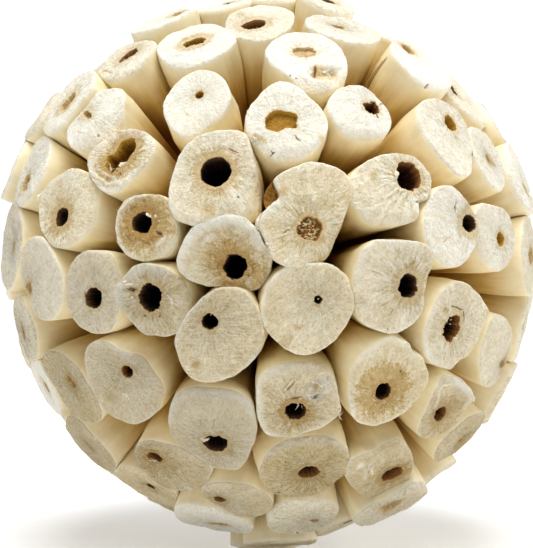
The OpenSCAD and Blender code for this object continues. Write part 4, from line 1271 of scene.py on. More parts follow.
        flaps=[(-0.5, 3.9, -1.8, 1.9, 1, 30, 60), (2.4, 3.8, 4.4, 3, 0.9, 40, 90),
        (1.6, 1.8, 2.6, 0.4, 0.8, 40, 90)],
        tufts=[(0.5, -0.7, 6, 0.6, -100, 50), (6.9, -2.8, 6, 0.9, -20, 50)],
        crumbs=[(4.6, 1.2, 0.35), (3.2, 3.2, 0.3), (2, 1.2, 0.24)]),
    "lower_stick_7": dict(outline=[(-0.3, 8), (3, 6.7), (4.4, 5), (6.3, 4.1), (8.4, 0), (7.2, -3.1),
        (5.5, -5.4), (3, -7.2), (-0.3, -8.2), (-2.8, -7.7), (-4.5, -6.4), (-5.8, -3.5), (-6.3, 0),
        (-6.2, 3.2), (-4.5, 5.9), (-2.4, 7.3)], tone=0.4, halo=1, stain=0.6, rays=0.9, pits=0.35,
        flecks=0.9, hearts=[(-0.3, -1.4, 5, 0.4, 0.85)], slopes=[(200, 50, 1.8, 0.6)],
        borders=[(90, 70, 1.4, 0.4), (250, 70, 0.7, 0.6)],
        marks=[("brown", 2.5, 1.9, 0.42), ("crack", 4, 5.4, 4.9, 5, 0.3), ("stain", 2.9, 1.4, 0.8),
        ("line", -3.4, 1.2, -1.6, 0.2, 0.18), ("line", 2, -3.6, 3.4, -4.8, 0.18)]),
    "lower_stick_8": dict(outline=[(0, 7.4), (2.5, 6.6), (5.4, 4.7), (7.7, 2.4), (6.9, -0.5), (5.6, -3.4),
        (4.2, -5.3), (2.1, -6.3), (0, -7.5), (-2.9, -6.8), (-5, -5.9), (-6.5, -3.4), (-6.8, -0.5),
        (-5.8, 2.4), (-4.2, 5.3), (-2.1, 7)], pith="striped", tone=0.1, pale=0.1, dim=0.97, halo=1,
        ragged=2.4, rough=1.3, pits=0.3, flecks=1, borders=[(200, 80, 1.2, 0.5)],
        marks=[("crack", -1.7, 3.3, 1.7, 2.4, 0.32), ("crack", 1.7, 2.4, 2.1, 0.3, 0.28),
        ("brown", -2.7, 2.8, 0.3), ("stain", -2.4, 2.4, 0.9)],
        tufts=[(-1.8, 0.6, 6, 0.6, -40, 90), (0.9, -2.1, 5, 0.5, 120, 70)],
        crumbs=[(-1.5, 0.9, 0.3), (0.8, -2.3, 0.35)]),
    "lower_stick_9": filled(tone=0.2, pale=0.2, dim=0.9, halo=1, slopes=[(90, 60, 1.6, 0.6)]),
    "lower_stick_10": dict(outline=[(-4.7, 6.9), (-3, 6.8), (0.3, 6.2), (3.7, 4.5), (6.2, 2.4), (7.2, 1.8),
        (5.8, 0.3), (5.3, -2.2), (4.5, -4.5), (2.4, -5.7), (-0.5, -6.2), (-3, -5.5), (-4.7, -3.8),
        (-5.3, -1.3), (-5.1, 1.2), (-5.3, 3.7)], pith="striped", tone=0.6, dim=0.84,
        hearts=[(0.6, -1, 4, 0.8, 0.5)], slopes=[(270, 70, 1.6, 0.6)],
        ridges=[(-5.1, 5.6, -1.3, 6, 0.9, 0.3), (-1.3, 6, 3.2, 4, 0.9, 0.3), (3.2, 4, 6.8, 1.6, 0.9, 0.3),
        (-5, 5.2, -3.2, 0.6, 0.7, 0.25)], borders=[(60, 70, 1.6, 0.7)],
        marks=[("line", -3, 2.6, 2.4, 2.8, 0.25)],
        flaps=[(5.2, 2.9, 7, 1.6, 1, 20, 60), (-4.6, 5.6, -2.2, 5.9, 0.8, 50, 90)]),
    "low_stick_1": filled(tone=1, dim=0.76, halo=1, crisp=1.2, slopes=[(90, 60, 1.6, 0.6)]),
    "low_stick_2": dict(pith="striped", tone=0.9, dim=0.75, halo=0.9, ragged=1.3,
        hearts=[(-2, 1, 3.8, 0.5, 0.5)], tears=[(1.6, -5.6, 1.8, 0.7, -10, 0.2, 0.3)],
        tufts=[(-2.4, 1.2, 7, 1, 120, 60)]),
    "low_stick_3": dict(outline=[(-7, 1.5), (-7, -1), (-5.5, -3.5), (-3, -5.6), (-0.9, -7.7), (1.6, -8.2),
        (4.1, -7.7), (5.8, -5.2), (7.4, -1.4), (7.8, 1.9), (7.4, 5.2), (5.8, 6.9), (2, 7.7), (-2.6, 7.7),
        (-5.5, 6), (-6.5, 4)], tone=1.1, pale=0.3, dim=0.74, halo=1.1, stain=0.6, ragged=1.2, rough=0.6,
        slopes=[(92, 70, 2.4, 1.3)], borders=[(90, 90, 1.2, 0.6)],
        marks=[("line", -1.6, 0.4, -1.2, 2.6, 0.2), ("line", 0.6, 0.2, 1, 2.8, 0.2),
        ("stain", 2.8, -4.6, 1.4), ("pale", -1.6, -1.7, 0.5)],
        flaps=[(-0.4, -1.7, -1.6, -2.1, 0.8, 40, 90)]),
    "low_stick_4": dict(outline=[(-7.1, 0.3), (-7.1, -2.2), (-6, -4.3), (-4.4, -6.1), (-1.9, -7.5),
        (1, -7.4), (4.3, -6.3), (6.4, -3.8), (7.9, -1.3), (8, 1.2), (7.5, 3.7), (5.6, 6), (2.3, 6.8),
        (-1.5, 6.6), (-4.8, 4.9), (-6.5, 2.8)], pith="striped", tone=1.3, dim=0.84, halo=1.3, stain=0.6,
        rays=0.9, crisp=1.8, slopes=[(100, 75, 2.2, 1)], borders=[(95, 80, 1.4, 0.4)],
        marks=[("brown", -3, 2, 0.28), ("crack", -3.9, -5.6, -2.9, -6, 0.35), ("brown", -4.4, -4.9, 0.25),
        ("line", 3.8, 1.6, 5.2, 2.4, 0.2)]),
    "low_stick_5": dict(outline=[(-0.3, 7.4), (2.2, 5.8), (4.7, 3.3), (6.8, -0.5), (7.8, -4.3), (6.3, -7.2),
        (3, -7.8), (-0.3, -7), (-3.7, -4.7), (-6.6, -1.8), (-8.5, 1.2), (-8.7, 3.7), (-7, 5.3), (-4.5, 5.3),
        (-2.4, 7)], pith="striped", tone=0.9, dim=0.83, halo=1.4, stain=0.6, rays=1,
        hearts=[(2.7, -1.3, 3.4, 1, 0.45)], slopes=[(90, 60, 1.8, 0.7)],
        ridges=[(-4.3, 3, -4.5, 0.3, 0.7, 0.35), (-4.5, 0.3, -3.6, -1.2, 0.6, 0.3)],
        marks=[("pale", -6.4, 2.4, 1.4), ("crack", -3.7, 3, -3.9, 0.4, 0.25), ("brown", -2, -1.6, 0.25)],
        flaps=[(-3.9, 0.6, -4.1, 2.8, 0.9, 50, 90)]),
    "low_stick_6": filled(tone=0.9, dim=0.8, halo=1.4, crisp=1.8,
        marks=[("stain", 2.4, -1.2, 1.4), ("line", 1.4, -1, 3, -1.6, 0.25)]),
    "bottom_stick_1": filled(tone=-0.6, pale=0.8, halo=1, crisp=1.8, slopes=[(90, 60, 1.6, 0.6)]),
    "bottom_stick_2": dict(pith="striped", tone=0.4, dim=0.82, halo=1),
    "bottom_stick_3": filled(tone=-0.4, pale=0.2, dim=0.95, halo=0.5, crisp=1.8,
        marks=[("crack", 0.6, -6.8, 1.3, -8.1, 0.35)]),
    "rest_stick": dict(level=True, tone=0.3),
    "bottom_stick_4": filled(tone=0, pale=0.2, dim=0.92, halo=1, crisp=1.8, slopes=[(90, 60, 1.8, 0.7)]),
}

# The far side's sawn ends: how pale they are
FAR_LOOKS = {
    "rear_top_sticks": dict(pale=0.6),
    "rear_upper_sticks": dict(pale=0.45),
    "rear_middle_sticks": dict(pale=0.25),
}


# Share of the far side's ends that are torn
TORN_SHARE = 0.35


def look_of(node, stick):
    """How an end was cut: as listed, or as chance has it on the far side."""
    if node in LOOKS:
        return LOOKS[node]
    pick = np.random.RandomState(stick.seed)
    ranges = ((0, 360), (60, 130), (1.0, 2.6), (0.3, 1.0))
    slopes = [tuple(pick.uniform(*ends) for ends in ranges) for _ in range(pick.randint(0, 3))]
    tears = []
    if pick.uniform() < TORN_SHARE:
        way, out = pick.uniform(0, TURN), pick.uniform(3, 5)
        tears.append((out * math.cos(way), out * math.sin(way), pick.uniform(1, 2.2),
                      pick.uniform(0.6, 1.2), pick.uniform(0, 180), 0.2, 0.25))
    return dict(slopes=slopes, tears=tears, rough=pick.uniform(0.6, 1.3), ragged=pick.uniform(0.8, 2.0),
                fibres=pick.uniform(0.4, 1.4), tone=pick.uniform(-0.5, 0.9))


def add_object(name, data):
    """A new object in the scene."""
    made = bpy.data.objects.new(name, data)
    bpy.context.scene.collection.objects.link(made)
    return made


def smooth_shaded(mesh):
    """A mesh, with its faces shaded softly."""
    mesh.polygons.foreach_set("use_smooth", [True] * len(mesh.polygons))
    return mesh


def finish_sticks(node, fine):
    """Carve every stick of a node and let the piece stand for it."""
    wood = bpy.context.scene.pithball_wood
    sticks = read_sticks(node)
    looks = [look_of(node, s) for s in sticks]
    mesh = join(node + "_peeled", [carve(s, look, fine, wood) for s, look in zip(sticks, looks)])
    look = looks[0] if node in LOOKS else FAR_LOOKS.get(node, {})
    own = "Sawn end " + node if look else "Sawn end"
    split = ("Split side " + node, look["splits"]) if "splits" in look else ()
    for material in (sawn_material(own, look), peeled_material(*split), channel_of(look)):
        mesh.materials.append(material)
    piece = add_object(node + "_peeled", mesh)
    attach(piece, BODY)
    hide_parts(node)


# ---------------------------------------------------------------- torn bits and splinters

def round_faces(rings, columns, closed):
    """The faces of rings of points round a first point, and up to a last one if the shape is closed."""
    faces = []
    last = 1 + rings * columns
    for c in range(columns):
        d = (c + 1) % columns
        faces.append((0, 1 + c, 1 + d))
        for r in range(rings - 1):
            a, b = 1 + r * columns + c, 1 + r * columns + d
            faces.append((a, a + columns, b + columns, b))
        if closed:
            faces.append((last, last - columns + d, last - columns + c))
    return faces


class Bits:
    """Gathers small closed shapes into one mesh."""

    def __init__(self):
        self.points, self.faces, self.count = [], [], 0

    def add(self, points, faces):
        points = np.asarray(points, float).reshape(-1, 3)
        self.faces += [tuple(int(i) + self.count for i in f) for f in faces]
        self.points.append(points)
        self.count += len(points)

    def sheet(self, top, thick, facing):
        """A closed slab: rows and columns of points, and how thick it is at each."""
        rows, columns = top.shape[:2]
        under = top - facing * thick[..., None]
        n = rows * columns
        grid = np.arange(n).reshape(rows, columns)
        faces = []
        for r in range(rows - 1):
            for c in range(columns - 1):
                a, b, d, e = grid[r, c], grid[r, c + 1], grid[r + 1, c + 1], grid[r + 1, c]
                faces += [(a, b, d, e), (a + n, e + n, d + n, b + n)]
        ring = [*grid[0], *grid[1:, -1], *grid[-1, -2::-1], *grid[-2:0:-1, 0]]
        faces += [(b, a, a + n, b + n) for a, b in zip(ring, ring[1:] + ring[:1])]
        self.add(np.concatenate([top.reshape(-1, 3), under.reshape(-1, 3)]), faces)

    def strand(self, path, widths, sides=5):
        """A thin fibre along a path, closed at both ends."""
        path = np.asarray(path)
        along = unit(path[-1] - path[0])
        across = unit(np.cross(along, [0.31, 0.74, 0.59]))
        other = np.cross(along, across)
        turns = TURN * np.arange(sides) / sides
        ring = np.cos(turns)[:, None] * across + np.sin(turns)[:, None] * other
        points = (path[:, None] + ring[None] * np.asarray(widths)[:, None, None]).reshape(-1, 3)
        faces = []
        for k in range(len(path) - 1):
            for j in range(sides):
                a, b = k * sides + j, k * sides + (j + 1) % sides
                faces.append((a, b, b + sides, a + sides))
        faces += [tuple(range(sides))[::-1], tuple(range((len(path) - 1) * sides, len(path) * sides))]
        self.add(points, faces)

    def lump(self, at, size, seed):
        """A small crumb with an uneven skin."""
        rows, columns = 7, 9
        points = [(0, 0, 1)]
        for r in range(1, rows):
            el = math.pi * r / rows
            points += [(math.sin(el) * math.cos(t), math.sin(el) * math.sin(t), math.cos(el))
                       for t in (TURN * c / columns for c in range(columns))]
        points.append((0, 0, -1))
        points = np.array(points)
        points = points * (1 + 0.55 * rough(points, 0.9, seed, 3))[:, None] * np.array([1, 0.8, 0.65])
        self.add(at + points * size, round_faces(rows - 1, columns, True))

    def mesh(self, name):
        mesh = bpy.data.meshes.new(name)
        mesh.from_pydata(np.concatenate(self.points).tolist(), [], self.faces)
        shell = bmesh.new()
        shell.from_mesh(mesh)
        bmesh.ops.recalc_face_normals(shell, faces=shell.faces)
        shell.to_mesh(mesh)
        shell.free()
        return smooth_shaded(mesh)


class Ground:
    """A finished end to set bits on."""

    # Where a ray that looks for the end starts, and its length
    ABOVE, RAY = 4 * MM, 9 * MM

    def __init__(self, node):
        mesh = bpy.data.objects[node + "_peeled"].data
        self.stick = read_sticks(node)[0]
        self.tree = BVHTree.FromPolygons([v.co for v in mesh.vertices],
                                         [tuple(p.vertices) for p in mesh.polygons])

    def at(self, x, y, lift=0.0):
        """The point on the end at a place in mm, lifted by some mm."""
        stick = self.stick
        above = stick.place(x * MM, y * MM, self.ABOVE)
        hit = self.tree.ray_cast(Vector(above), Vector(-stick.axis), self.RAY)
        point = above - stick.axis * self.ABOVE if hit[0] is None else np.array(hit[0])
        return point + stick.axis * lift * MM


def tear_flap(bits, ground, flap, seed):
    """A torn sheet of wood that still hangs on along one edge and curls up."""
    x0, y0, x1, y1, reach, lift, curl = flap
    rows, columns = 9, 11
    top = np.zeros((rows, columns, 3))
    facing = np.zeros((rows, columns, 3))
    along = unit([x1 - x0, y1 - y0])
    out = np.array([along[1], -along[0]])
    stick = ground.stick
    flat = stick.right * out[0] + stick.up * out[1]
    for c in range(columns):
        v = c / (columns - 1)
        ends = 1 - 0.75 * abs(2 * v - 1) ** 2.4
        ragged = 1 + 0.45 * float(rough(np.array([v * 3.1, seed * 1.7, 0.0]), 0.55, seed, 3))
        at = ground.at(x0 + (x1 - x0) * v, y0 + (y1 - y0) * v, -0.12)
        angle = math.radians(lift)
        step = reach * MM * ends * ragged / (rows - 1)
        for r in range(rows):
            u = r / (rows - 1)
            wave = 0.09 * MM * float(noise(np.array([v * 4.0, u * 2.0, seed]), 0.6, seed + 5)) * u
            top[r, c] = at + stick.axis * wave
            facing[r, c] = stick.axis * math.cos(angle) - flat * math.sin(angle)
            at = at + (flat * math.cos(angle) + stick.axis * math.sin(angle)) * step
            angle += math.radians(curl) / (rows - 1)
    thick = np.linspace(0.20, 0.06, rows)[:, None] * MM * np.ones(columns)
    bits.sheet(top, thick, facing)


def break_bowl(bits, ground, bowl):
    """What is left of a hollow whose outer wall broke off: a thin curved shell."""
    outer, inner, depth = bowl
    stick = ground.stick
    v = np.linspace(0, 1, 15)
    knots = np.linspace(0, 1, len(outer))
    far = np.stack([np.interp(v, knots, [p[k] for p in outer]) for k in (0, 1)], -1)
    near = np.stack([np.interp(v, knots, [p[k] for p in inner]) for k in (0, 1)], -1)
    rows = 14
    top = np.zeros((rows, len(v), 3))
    for r in range(rows):
        u = r / (rows - 1)
        flat = far + (near - far) * (u ** 1.4 * 1.12)
        down = 0.9 + (depth - 0.9) * np.sin(u * math.pi / 2) ** 0.8
        down = down * (0.55 + 0.45 * np.sin(math.pi * v))
        down = down + 0.16 * rough(stacked(flat[:, 0], flat[:, 1], u * 3.0), 0.9, 61, 3)
        top[r] = stick.place(flat[:, 0] * MM, flat[:, 1] * MM, -down * MM)
    bits.sheet(top, np.full((rows, len(v)), 0.3 * MM), np.broadcast_to(stick.axis, top.shape))


def tear_tuft(bits, ground, tuft, seed):
    """A few pale fibres that stand up from one place."""
    x, y, count, length, towards, spread = tuft
    pick = np.random.RandomState(seed)
    stick = ground.stick
    for _ in range(count):
        way = math.radians(towards + pick.uniform(-spread, spread))
        flat = stick.right * math.cos(way) + stick.up * math.sin(way)
        at = ground.at(x + pick.uniform(-0.4, 0.4), y + pick.uniform(-0.4, 0.4), -0.08)
        rise, bend = pick.uniform(0.3, 0.9), pick.uniform(-0.6, 0.2)
        reach = length * pick.uniform(0.5, 1.1) * MM
        t = np.linspace(0, 1, 6)
        lateral = np.cross(stick.axis, flat) * pick.uniform(-0.3, 0.3)
        path = (at + np.outer(t, flat) * reach + np.outer(t ** 2, lateral) * reach
                + np.outer(t * rise + t ** 2 * bend, stick.axis) * reach)
        bits.strand(path, np.linspace(0.06, 0.02, 6) * MM * pick.uniform(0.7, 1.2))


def crumble(bits, ground, heap):
    """Crumbs of pith that lie about in a channel."""
    x, y, radius, count, deep = heap
    pick = np.random.RandomState(ground.stick.seed)
    for k in range(count):
        out, way = radius * math.sqrt(pick.uniform()), pick.uniform(0, TURN)
        at = ground.at(x + out * math.cos(way), y + out * math.sin(way), -deep * pick.uniform(0, 1))
        bits.lump(at, pick.uniform(0.14, 0.30) * MM, k)


def torn_material():
    """Fresh torn wood: nearly white, a little yellow in its hollows."""
    wood = bpy.context.scene.pithball_wood

    def lay_out(sh):
        position = sh.place_of_object()
        grain = sh.group(grain_group(), Position=position)
        threads = sh.noise(sh.vector("MULTIPLY", position, (1, 1, 0.3)), 2600.0, 3.0, 0.6)
        cloudy = sh.mul_add(grain["Clouds"], 0.5, 0.6, clamp=True)
        colour = sh.mix(cloudy, wood.pale_and_highlight_colour, wood.end_colour)
        colour = sh.mix(sh.remap(threads, 0.5, 0.72, 0.0, 0.5), colour, wood.shade_colour)
        return colour, sh.add(threads, sh.mul(grain["Cells"], 0.5))
    return wood_material("Torn fibres", 0.8, 0.7, lay_out)


def crumb_material():
    """Crumbled pith: straw-coloured grains."""
    def lay_out(sh):
        grain = sh.group(grain_group(), Position=sh.place_of_object())
        colour = sh.mix(grain["Knots"], srgb(242, 206, 136), srgb(255, 244, 200))
        return colour, grain["Cells"]
    return wood_material("Pith crumbs", 0.6, 0.7, lay_out)


def hollow_material():
    """The amber, fibrous inside of a broken hollow."""
    def lay_out(sh):
        position = sh.place_of_object()
        grain = sh.group(grain_group(), Position=position)
        threads = sh.noise(sh.vector("MULTIPLY", position, (1, 0.25, 1)), 1500.0, 3.0, 0.6)
        colour = sh.mix(sh.remap(threads, 0.35, 0.65), srgb(156, 108, 34), srgb(214, 172, 90))
        colour = sh.lay(colour, grain["Dents"], 0.7, srgb(70, 40, 14))
        colour = sh.lay(colour, grain["Flecks"], 0.5, srgb(236, 206, 150))
        return colour, sh.add(threads, grain["Knots"])
    return wood_material("Broken hollow", 1.0, 0.6, lay_out)


class Growing(Shading):
    """Lays out a Geometry Nodes tree, with the same helpers as a material's."""

    def __init__(self, name, inputs):
        super().__init__(bpy.data.node_groups.new(name, "GeometryNodeTree"))
        self.socket("Geometry", "INPUT", "Geometry")
        self.socket("Geometry", "OUTPUT", "Geometry")
        for key, (kind, value) in inputs.items():
            socket = self.socket(key, "INPUT", kind)
            if value is not None:
                socket.default_value = value

    def socket(self, name, way, kind):
        return self.tree.interface.new_socket(name, in_out=way, socket_type="NodeSocket" + kind)

    def make(self, kind, inputs, output=0, **settings):
        """One of the outputs of a new node, whose inputs are given by number or name."""
        return self.fill(self.node(kind, **settings), inputs).outputs[output]

    def near_edge(self, distance, reach, share, start=0.0):
        """A share that falls to nothing within a reach, in mm, of an edge."""
        return self.make("ShaderNodeMapRange", {0: distance, 1: start, 2: reach, 3: share, 4: 0.0})

    def moved(self, shape, offset):
        return self.make("GeometryNodeSetPosition", {"Geometry": shape, "Offset": offset})


def splinter_tree():
    """Scatters short fibres and crumbs over sawn wood, most of them where it is torn and on the rims."""
    tree = Growing("Splinters", {
        "Fibres": ("Float", 0.5), "Crumbs": ("Float", 0.3), "Fibre Length": ("Float", 0.5 * MM),
        "Fibre Width": ("Float", 0.035 * MM), "Crumb Size": ("Float", 0.07 * MM), "Seed": ("Int", 3),
        "Material": ("Material", None)})
    source = tree.node("NodeGroupInput").outputs
    edges = tree.make("GeometryNodeInputNamedAttribute", {"Name": "edges"}, data_type="FLOAT_VECTOR")
    to_rim, to_pith, torn = tree.split(edges)
    rim = tree.near_edge(to_rim, 0.5, 0.5, start=0.1)
    lip = tree.near_edge(to_pith, 0.4, 1.0)
    share = tree.add(tree.add(rim, lip), tree.mul_add(torn, 2.5, 0.06))

    def scatter(density, seed, shape, tilt, small, large):
        """Copies of a shape, so many on each square millimetre."""
        density = tree.mul(tree.mul(density, share), 1 / MM ** 2)
        points = tree.fill(tree.node("GeometryNodeDistributePointsOnFaces", distribute_method="RANDOM"),
                           {"Mesh": source["Geometry"], "Density": density, "Seed": seed}).outputs
        turn = tree.make("FunctionNodeRandomValue", {0: (-tilt, -tilt, -3.14), 1: (tilt, tilt, 3.14),
                                                     "Seed": seed}, data_type="FLOAT_VECTOR")
        turned = tree.make("FunctionNodeRotateRotation",
                           {0: points["Rotation"], 1: tree.make("FunctionNodeEulerToRotation", {0: turn})},
                           rotation_space="LOCAL")
        size = tree.make("FunctionNodeRandomValue",
                         {2: small, 3: large, "Seed": tree.add(seed, 1.0)}, 1, data_type="FLOAT")
        return tree.make("GeometryNodeInstanceOnPoints",
                         {"Points": points["Points"], "Instance": shape, "Rotation": turned, "Scale": size})

    where = tree.make("GeometryNodeInputPosition", {})
    # A fibre is a thin cone that bends over
    fibre = tree.make("GeometryNodeMeshCone",
                      {"Vertices": 4, "Side Segments": 3, "Radius Top": 0.01 * MM,
                       "Radius Bottom": source["Fibre Width"], "Depth": source["Fibre Length"]})
    _, _, height = tree.split(where)
    bend = tree.mul(tree.mul(height, height), 700.0)
    fibre = tree.moved(fibre, tree.bundle(bend, 0.0, -0.05 * MM))
    # A crumb is a ball with an uneven skin
    crumb = tree.make("GeometryNodeMeshIcoSphere", {"Radius": source["Crumb Size"], "Subdivisions": 1})
    lumps = tree.make("ShaderNodeTexNoise", {"Vector": where, "Scale": 5200.0, "Detail": 0.0}, "Color")
    lumps = tree.vector("SUBTRACT", lumps, (0.5, 0.5, 0.5))
    crumb = tree.moved(crumb, tree.vector("SCALE", lumps, scale=0.18 * MM))
    fibres = scatter(source["Fibres"], source["Seed"], fibre, 1.25, 0.5, 1.4)
    crumbs = scatter(source["Crumbs"], tree.add(source["Seed"], 7.0), crumb, 3.1, 0.4, 1.5)
    joined = tree.node("GeometryNodeJoinGeometry")
    for made in (fibres, crumbs):
        tree.put(joined.inputs[0], made)
    real = tree.make("GeometryNodeRealizeInstances", {0: joined.outputs[0]})
    painted = tree.make("GeometryNodeSetMaterial", {"Geometry": real, "Material": source["Material"]})
    tree.put(tree.node("NodeGroupOutput").inputs[0], painted)
    return tree.tree


def grow(name, target, tree, settings):
    """Run a Geometry Nodes tree on a mesh and keep the result as a plain piece."""
    modifier = target.modifiers.new(tree.name, "NODES")
    modifier.node_group = tree
    for item in tree.interface.items_tree:
        if item.item_type == "SOCKET" and item.in_out == "INPUT" and item.name in settings:
            modifier[item.identifier] = settings[item.name]
    done = target.evaluated_get(bpy.context.evaluated_depsgraph_get())
    mesh = bpy.data.meshes.new_from_object(done)
    mesh.name = name
    target.modifiers.clear()
    bpy.data.objects.remove(target)
    return add_object(name, mesh)


# ---------------------------------------------------------------- sizes and colours

PICTURE_WIDTH = 533


def colour(name, description, value):
    """A property that holds a colour."""
    return FloatVectorProperty(name=name, description=description, subtype="COLOR", size=3,
                               min=0, max=1, default=value)


def number(name, description, value, **limits):
    """A property that holds a number which isn't below 0."""
    limits = {"min": 0, **limits}
    return FloatProperty(name=name, description=description, default=value, **limits)


class PithWood(bpy.types.PropertyGroup):
    """Sizes and colours of the sticks"""
    rim_round: number("Rim rounding", "Width of the worn edge round a cut end, in mm", 0.45,
                      min=0.05, max=2)
    relief: number("Relief", "Unevenness of the cut ends, as a share of the usual", 1.0, max=3,
                   subtype="FACTOR")
    fibres: number("Fibres", "Short fibres on each square millimetre of torn wood", 0.35, max=3)
    crumbs: number("Crumbs", "Crumbs on each square millimetre of torn wood", 0.25, max=3)
    end_colour: colour("Cut end", "Colour of a pale cut end", srgb(248, 237, 208))
    shade_colour: colour("Cut end, darker", "Colour of a yellowed cut end", srgb(220, 198, 146))
    # The white of flecks and torn wood, also used for the painted highlights on the rims and just below
    # them on the sides
    pale_and_highlight_colour: colour("Rim", "Colour of the bright rim and of the flecks", srgb(255, 250, 234))
    halo_colour: colour("Halo", "Colour of the wood round the pith", srgb(228, 206, 154))
    pith_colour: colour("Pith", "Colour of the pith at its edge", srgb(96, 60, 28))
    # The painted shade deep in a pith channel
    channel_shade_colour: colour("Hollow", "Colour deep in a pith channel", srgb(24, 12, 4))
    side_colour: colour("Side", "Colour of a peeled side near its end", srgb(250, 238, 202))
    # The next two colours paint the shade that darkens a peeled side with depth; the first also colours the
    # core and the slopes of the ends
    amber_colour: colour("Side, lower", "Colour of a peeled side lower down", srgb(228, 194, 112))
    deep_shade_colour: colour("Side, deep", "Colour of a peeled side near the core", srgb(164, 106, 18))


class PithStage(bpy.types.PropertyGroup):
    """Floor, lights and camera"""
    floor_colour: colour("Floor", "Colour of the floor", srgb(250, 250, 250))
    top_light: number("Top light", "Power of the soft light overhead", 1.82, unit="POWER")
    front_light: number("Front light", "Power of the soft light high in front", 0.92, unit="POWER")
    right_light: number("Right light", "Power of the soft light on the right", 1.0, unit="POWER")
    left_light: number("Left light", "Power of the soft light on the left", 0.5, unit="POWER")
    glow: number("Paper glow", "Light that comes up through the floor's paper", 0.12)
    sky: number("Sky", "Strength of the light from all round", 0.05)
    distance: number("Camera distance", "From the ball's middle to the camera", 0.3, min=0.1,
                     subtype="DISTANCE", unit="LENGTH")
    zoom: number("Zoom", "Focal length over the picture's width", 1579.6 / PICTURE_WIDTH, min=0.5)


# ---------------------------------------------------------------- operators

def numbered(stem, count):
    """The names of a row of sticks."""
    return tuple(f"{stem}_{k}" for k in range(1, count + 1))


class FinishSticks:
    """What the operators for the sticks share"""
    bl_options = {"REGISTER", "UNDO"}
    nodes = ()
    fine = NEAR

    def execute(self, context):
        for node in self.nodes:
            finish_sticks(node, self.fine)
        return {"FINISHED"}


class PITHBALL_OT_top(FinishSticks, bpy.types.Operator):
    """Finish the sticks at the ball's top"""
    bl_idname = "pithball.top"
    bl_label = "Top Sticks"
    nodes = numbered("top_stick", 3)


class PITHBALL_OT_high(FinishSticks, bpy.types.Operator):
    """Finish the high sticks, below the top"""
    bl_idname = "pithball.high"
    bl_label = "High Sticks"
    nodes = numbered("high_stick", 4)


class PITHBALL_OT_upper(FinishSticks, bpy.types.Operator):
    """Finish the upper sticks"""
    bl_idname = "pithball.upper"
    bl_label = "Upper Sticks"
    nodes = numbered("upper_stick", 6)


class PITHBALL_OT_middle(FinishSticks, bpy.types.Operator):
    """Finish the sticks just above the ball's waist"""
    bl_idname = "pithball.middle"
    bl_label = "Middle Sticks"
    nodes = numbered("middle_stick", 8)


class PITHBALL_OT_waist(FinishSticks, bpy.types.Operator):
    """Finish the sticks round the ball's waist"""
    bl_idname = "pithball.waist"
    bl_label = "Waist Sticks"
    nodes = numbered("waist_stick", 11)


class PITHBALL_OT_lower(FinishSticks, bpy.types.Operator):
    """Finish the sticks below the waist"""
    bl_idname = "pithball.lower"
    bl_label = "Lower Sticks"
    nodes = numbered("lower_stick", 10)


class PITHBALL_OT_low(FinishSticks, bpy.types.Operator):
    """Finish the low sticks"""
    bl_idname = "pithball.low"
    bl_label = "Low Sticks"
    nodes = numbered("low_stick", 6)


class PITHBALL_OT_bottom(FinishSticks, bpy.types.Operator):
    """Finish the sticks at the ball's bottom, and the one that it rests on"""
    bl_idname = "pithball.bottom"
    bl_label = "Bottom Sticks"
    nodes = numbered("bottom_stick", 4) + ("rest_stick",)


class PITHBALL_OT_rear(FinishSticks, bpy.types.Operator):
    """Finish the sticks of the ball's far side and round its rim"""
    bl_idname = "pithball.rear"
    bl_label = "Rear Sticks"
    nodes = tuple(f"rear_{part}_sticks" for part in ("top", "upper", "middle", "lower", "bottom"))
    fine = FAR


class PITHBALL_OT_core(bpy.types.Operator):
    """Give the core its turned wood"""
    bl_idname = "pithball.core"
    bl_label = "Core"
    bl_options = {"REGISTER", "UNDO"}

    def execute(self, context):
        turned = bmesh.new()
        turned.from_mesh(frame["nodes"]["core"].data)
        bmesh.ops.remove_doubles(turned, verts=turned.verts, dist=0.001 * MM)
        bmesh.ops.dissolve_degenerate(turned, edges=turned.edges, dist=0.001 * MM)
        mesh = bpy.data.meshes.new("turned_core")
        turned.to_mesh(mesh)
        turned.free()
        mesh.materials.append(core_material())
        piece = add_object("turned_core", smooth_shaded(mesh))
        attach(piece, BODY)
        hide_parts("core")
        return {"FINISHED"}


class PITHBALL_OT_torn_bits(bpy.types.Operator):
    """Set the curled flaps, tufts and crumbs that the saw left on some ends"""
    bl_idname = "pithball.torn_bits"
    bl_label = "Torn Bits"
    bl_options = {"REGISTER", "UNDO"}

    def execute(self, context):
        bits, bowls, grains = Bits(), Bits(), Bits()
        for node, look in sorted(LOOKS.items()):
            if not {"flaps", "tufts", "crumbs", "bowl", "heap"} & set(look):
                continue
            ground = Ground(node)
            seed = ground.stick.seed
            for k, flap in enumerate(look.get("flaps", ())):
                tear_flap(bits, ground, flap, seed + k)
            for k, tuft in enumerate(look.get("tufts", ())):
                tear_tuft(bits, ground, tuft, seed + 10 + k)
            for k, (x, y, size) in enumerate(look.get("crumbs", ())):
                bits.lump(ground.at(x, y, size * 0.25), size * MM, seed + 20 + k)
            if "bowl" in look:
                break_bowl(bowls, ground, look["bowl"])
            if "heap" in look:
                crumble(grains, ground, look["heap"])
        for name, made, material in (("torn_bits", bits, torn_material()),
                                     ("broken_hollow", bowls, hollow_material()),
                                     ("pith_crumbs", grains, crumb_material())):
            piece = add_object(name, made.mesh(name))
            piece.data.materials.append(material)
            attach(piece, BODY)
        return {"FINISHED"}


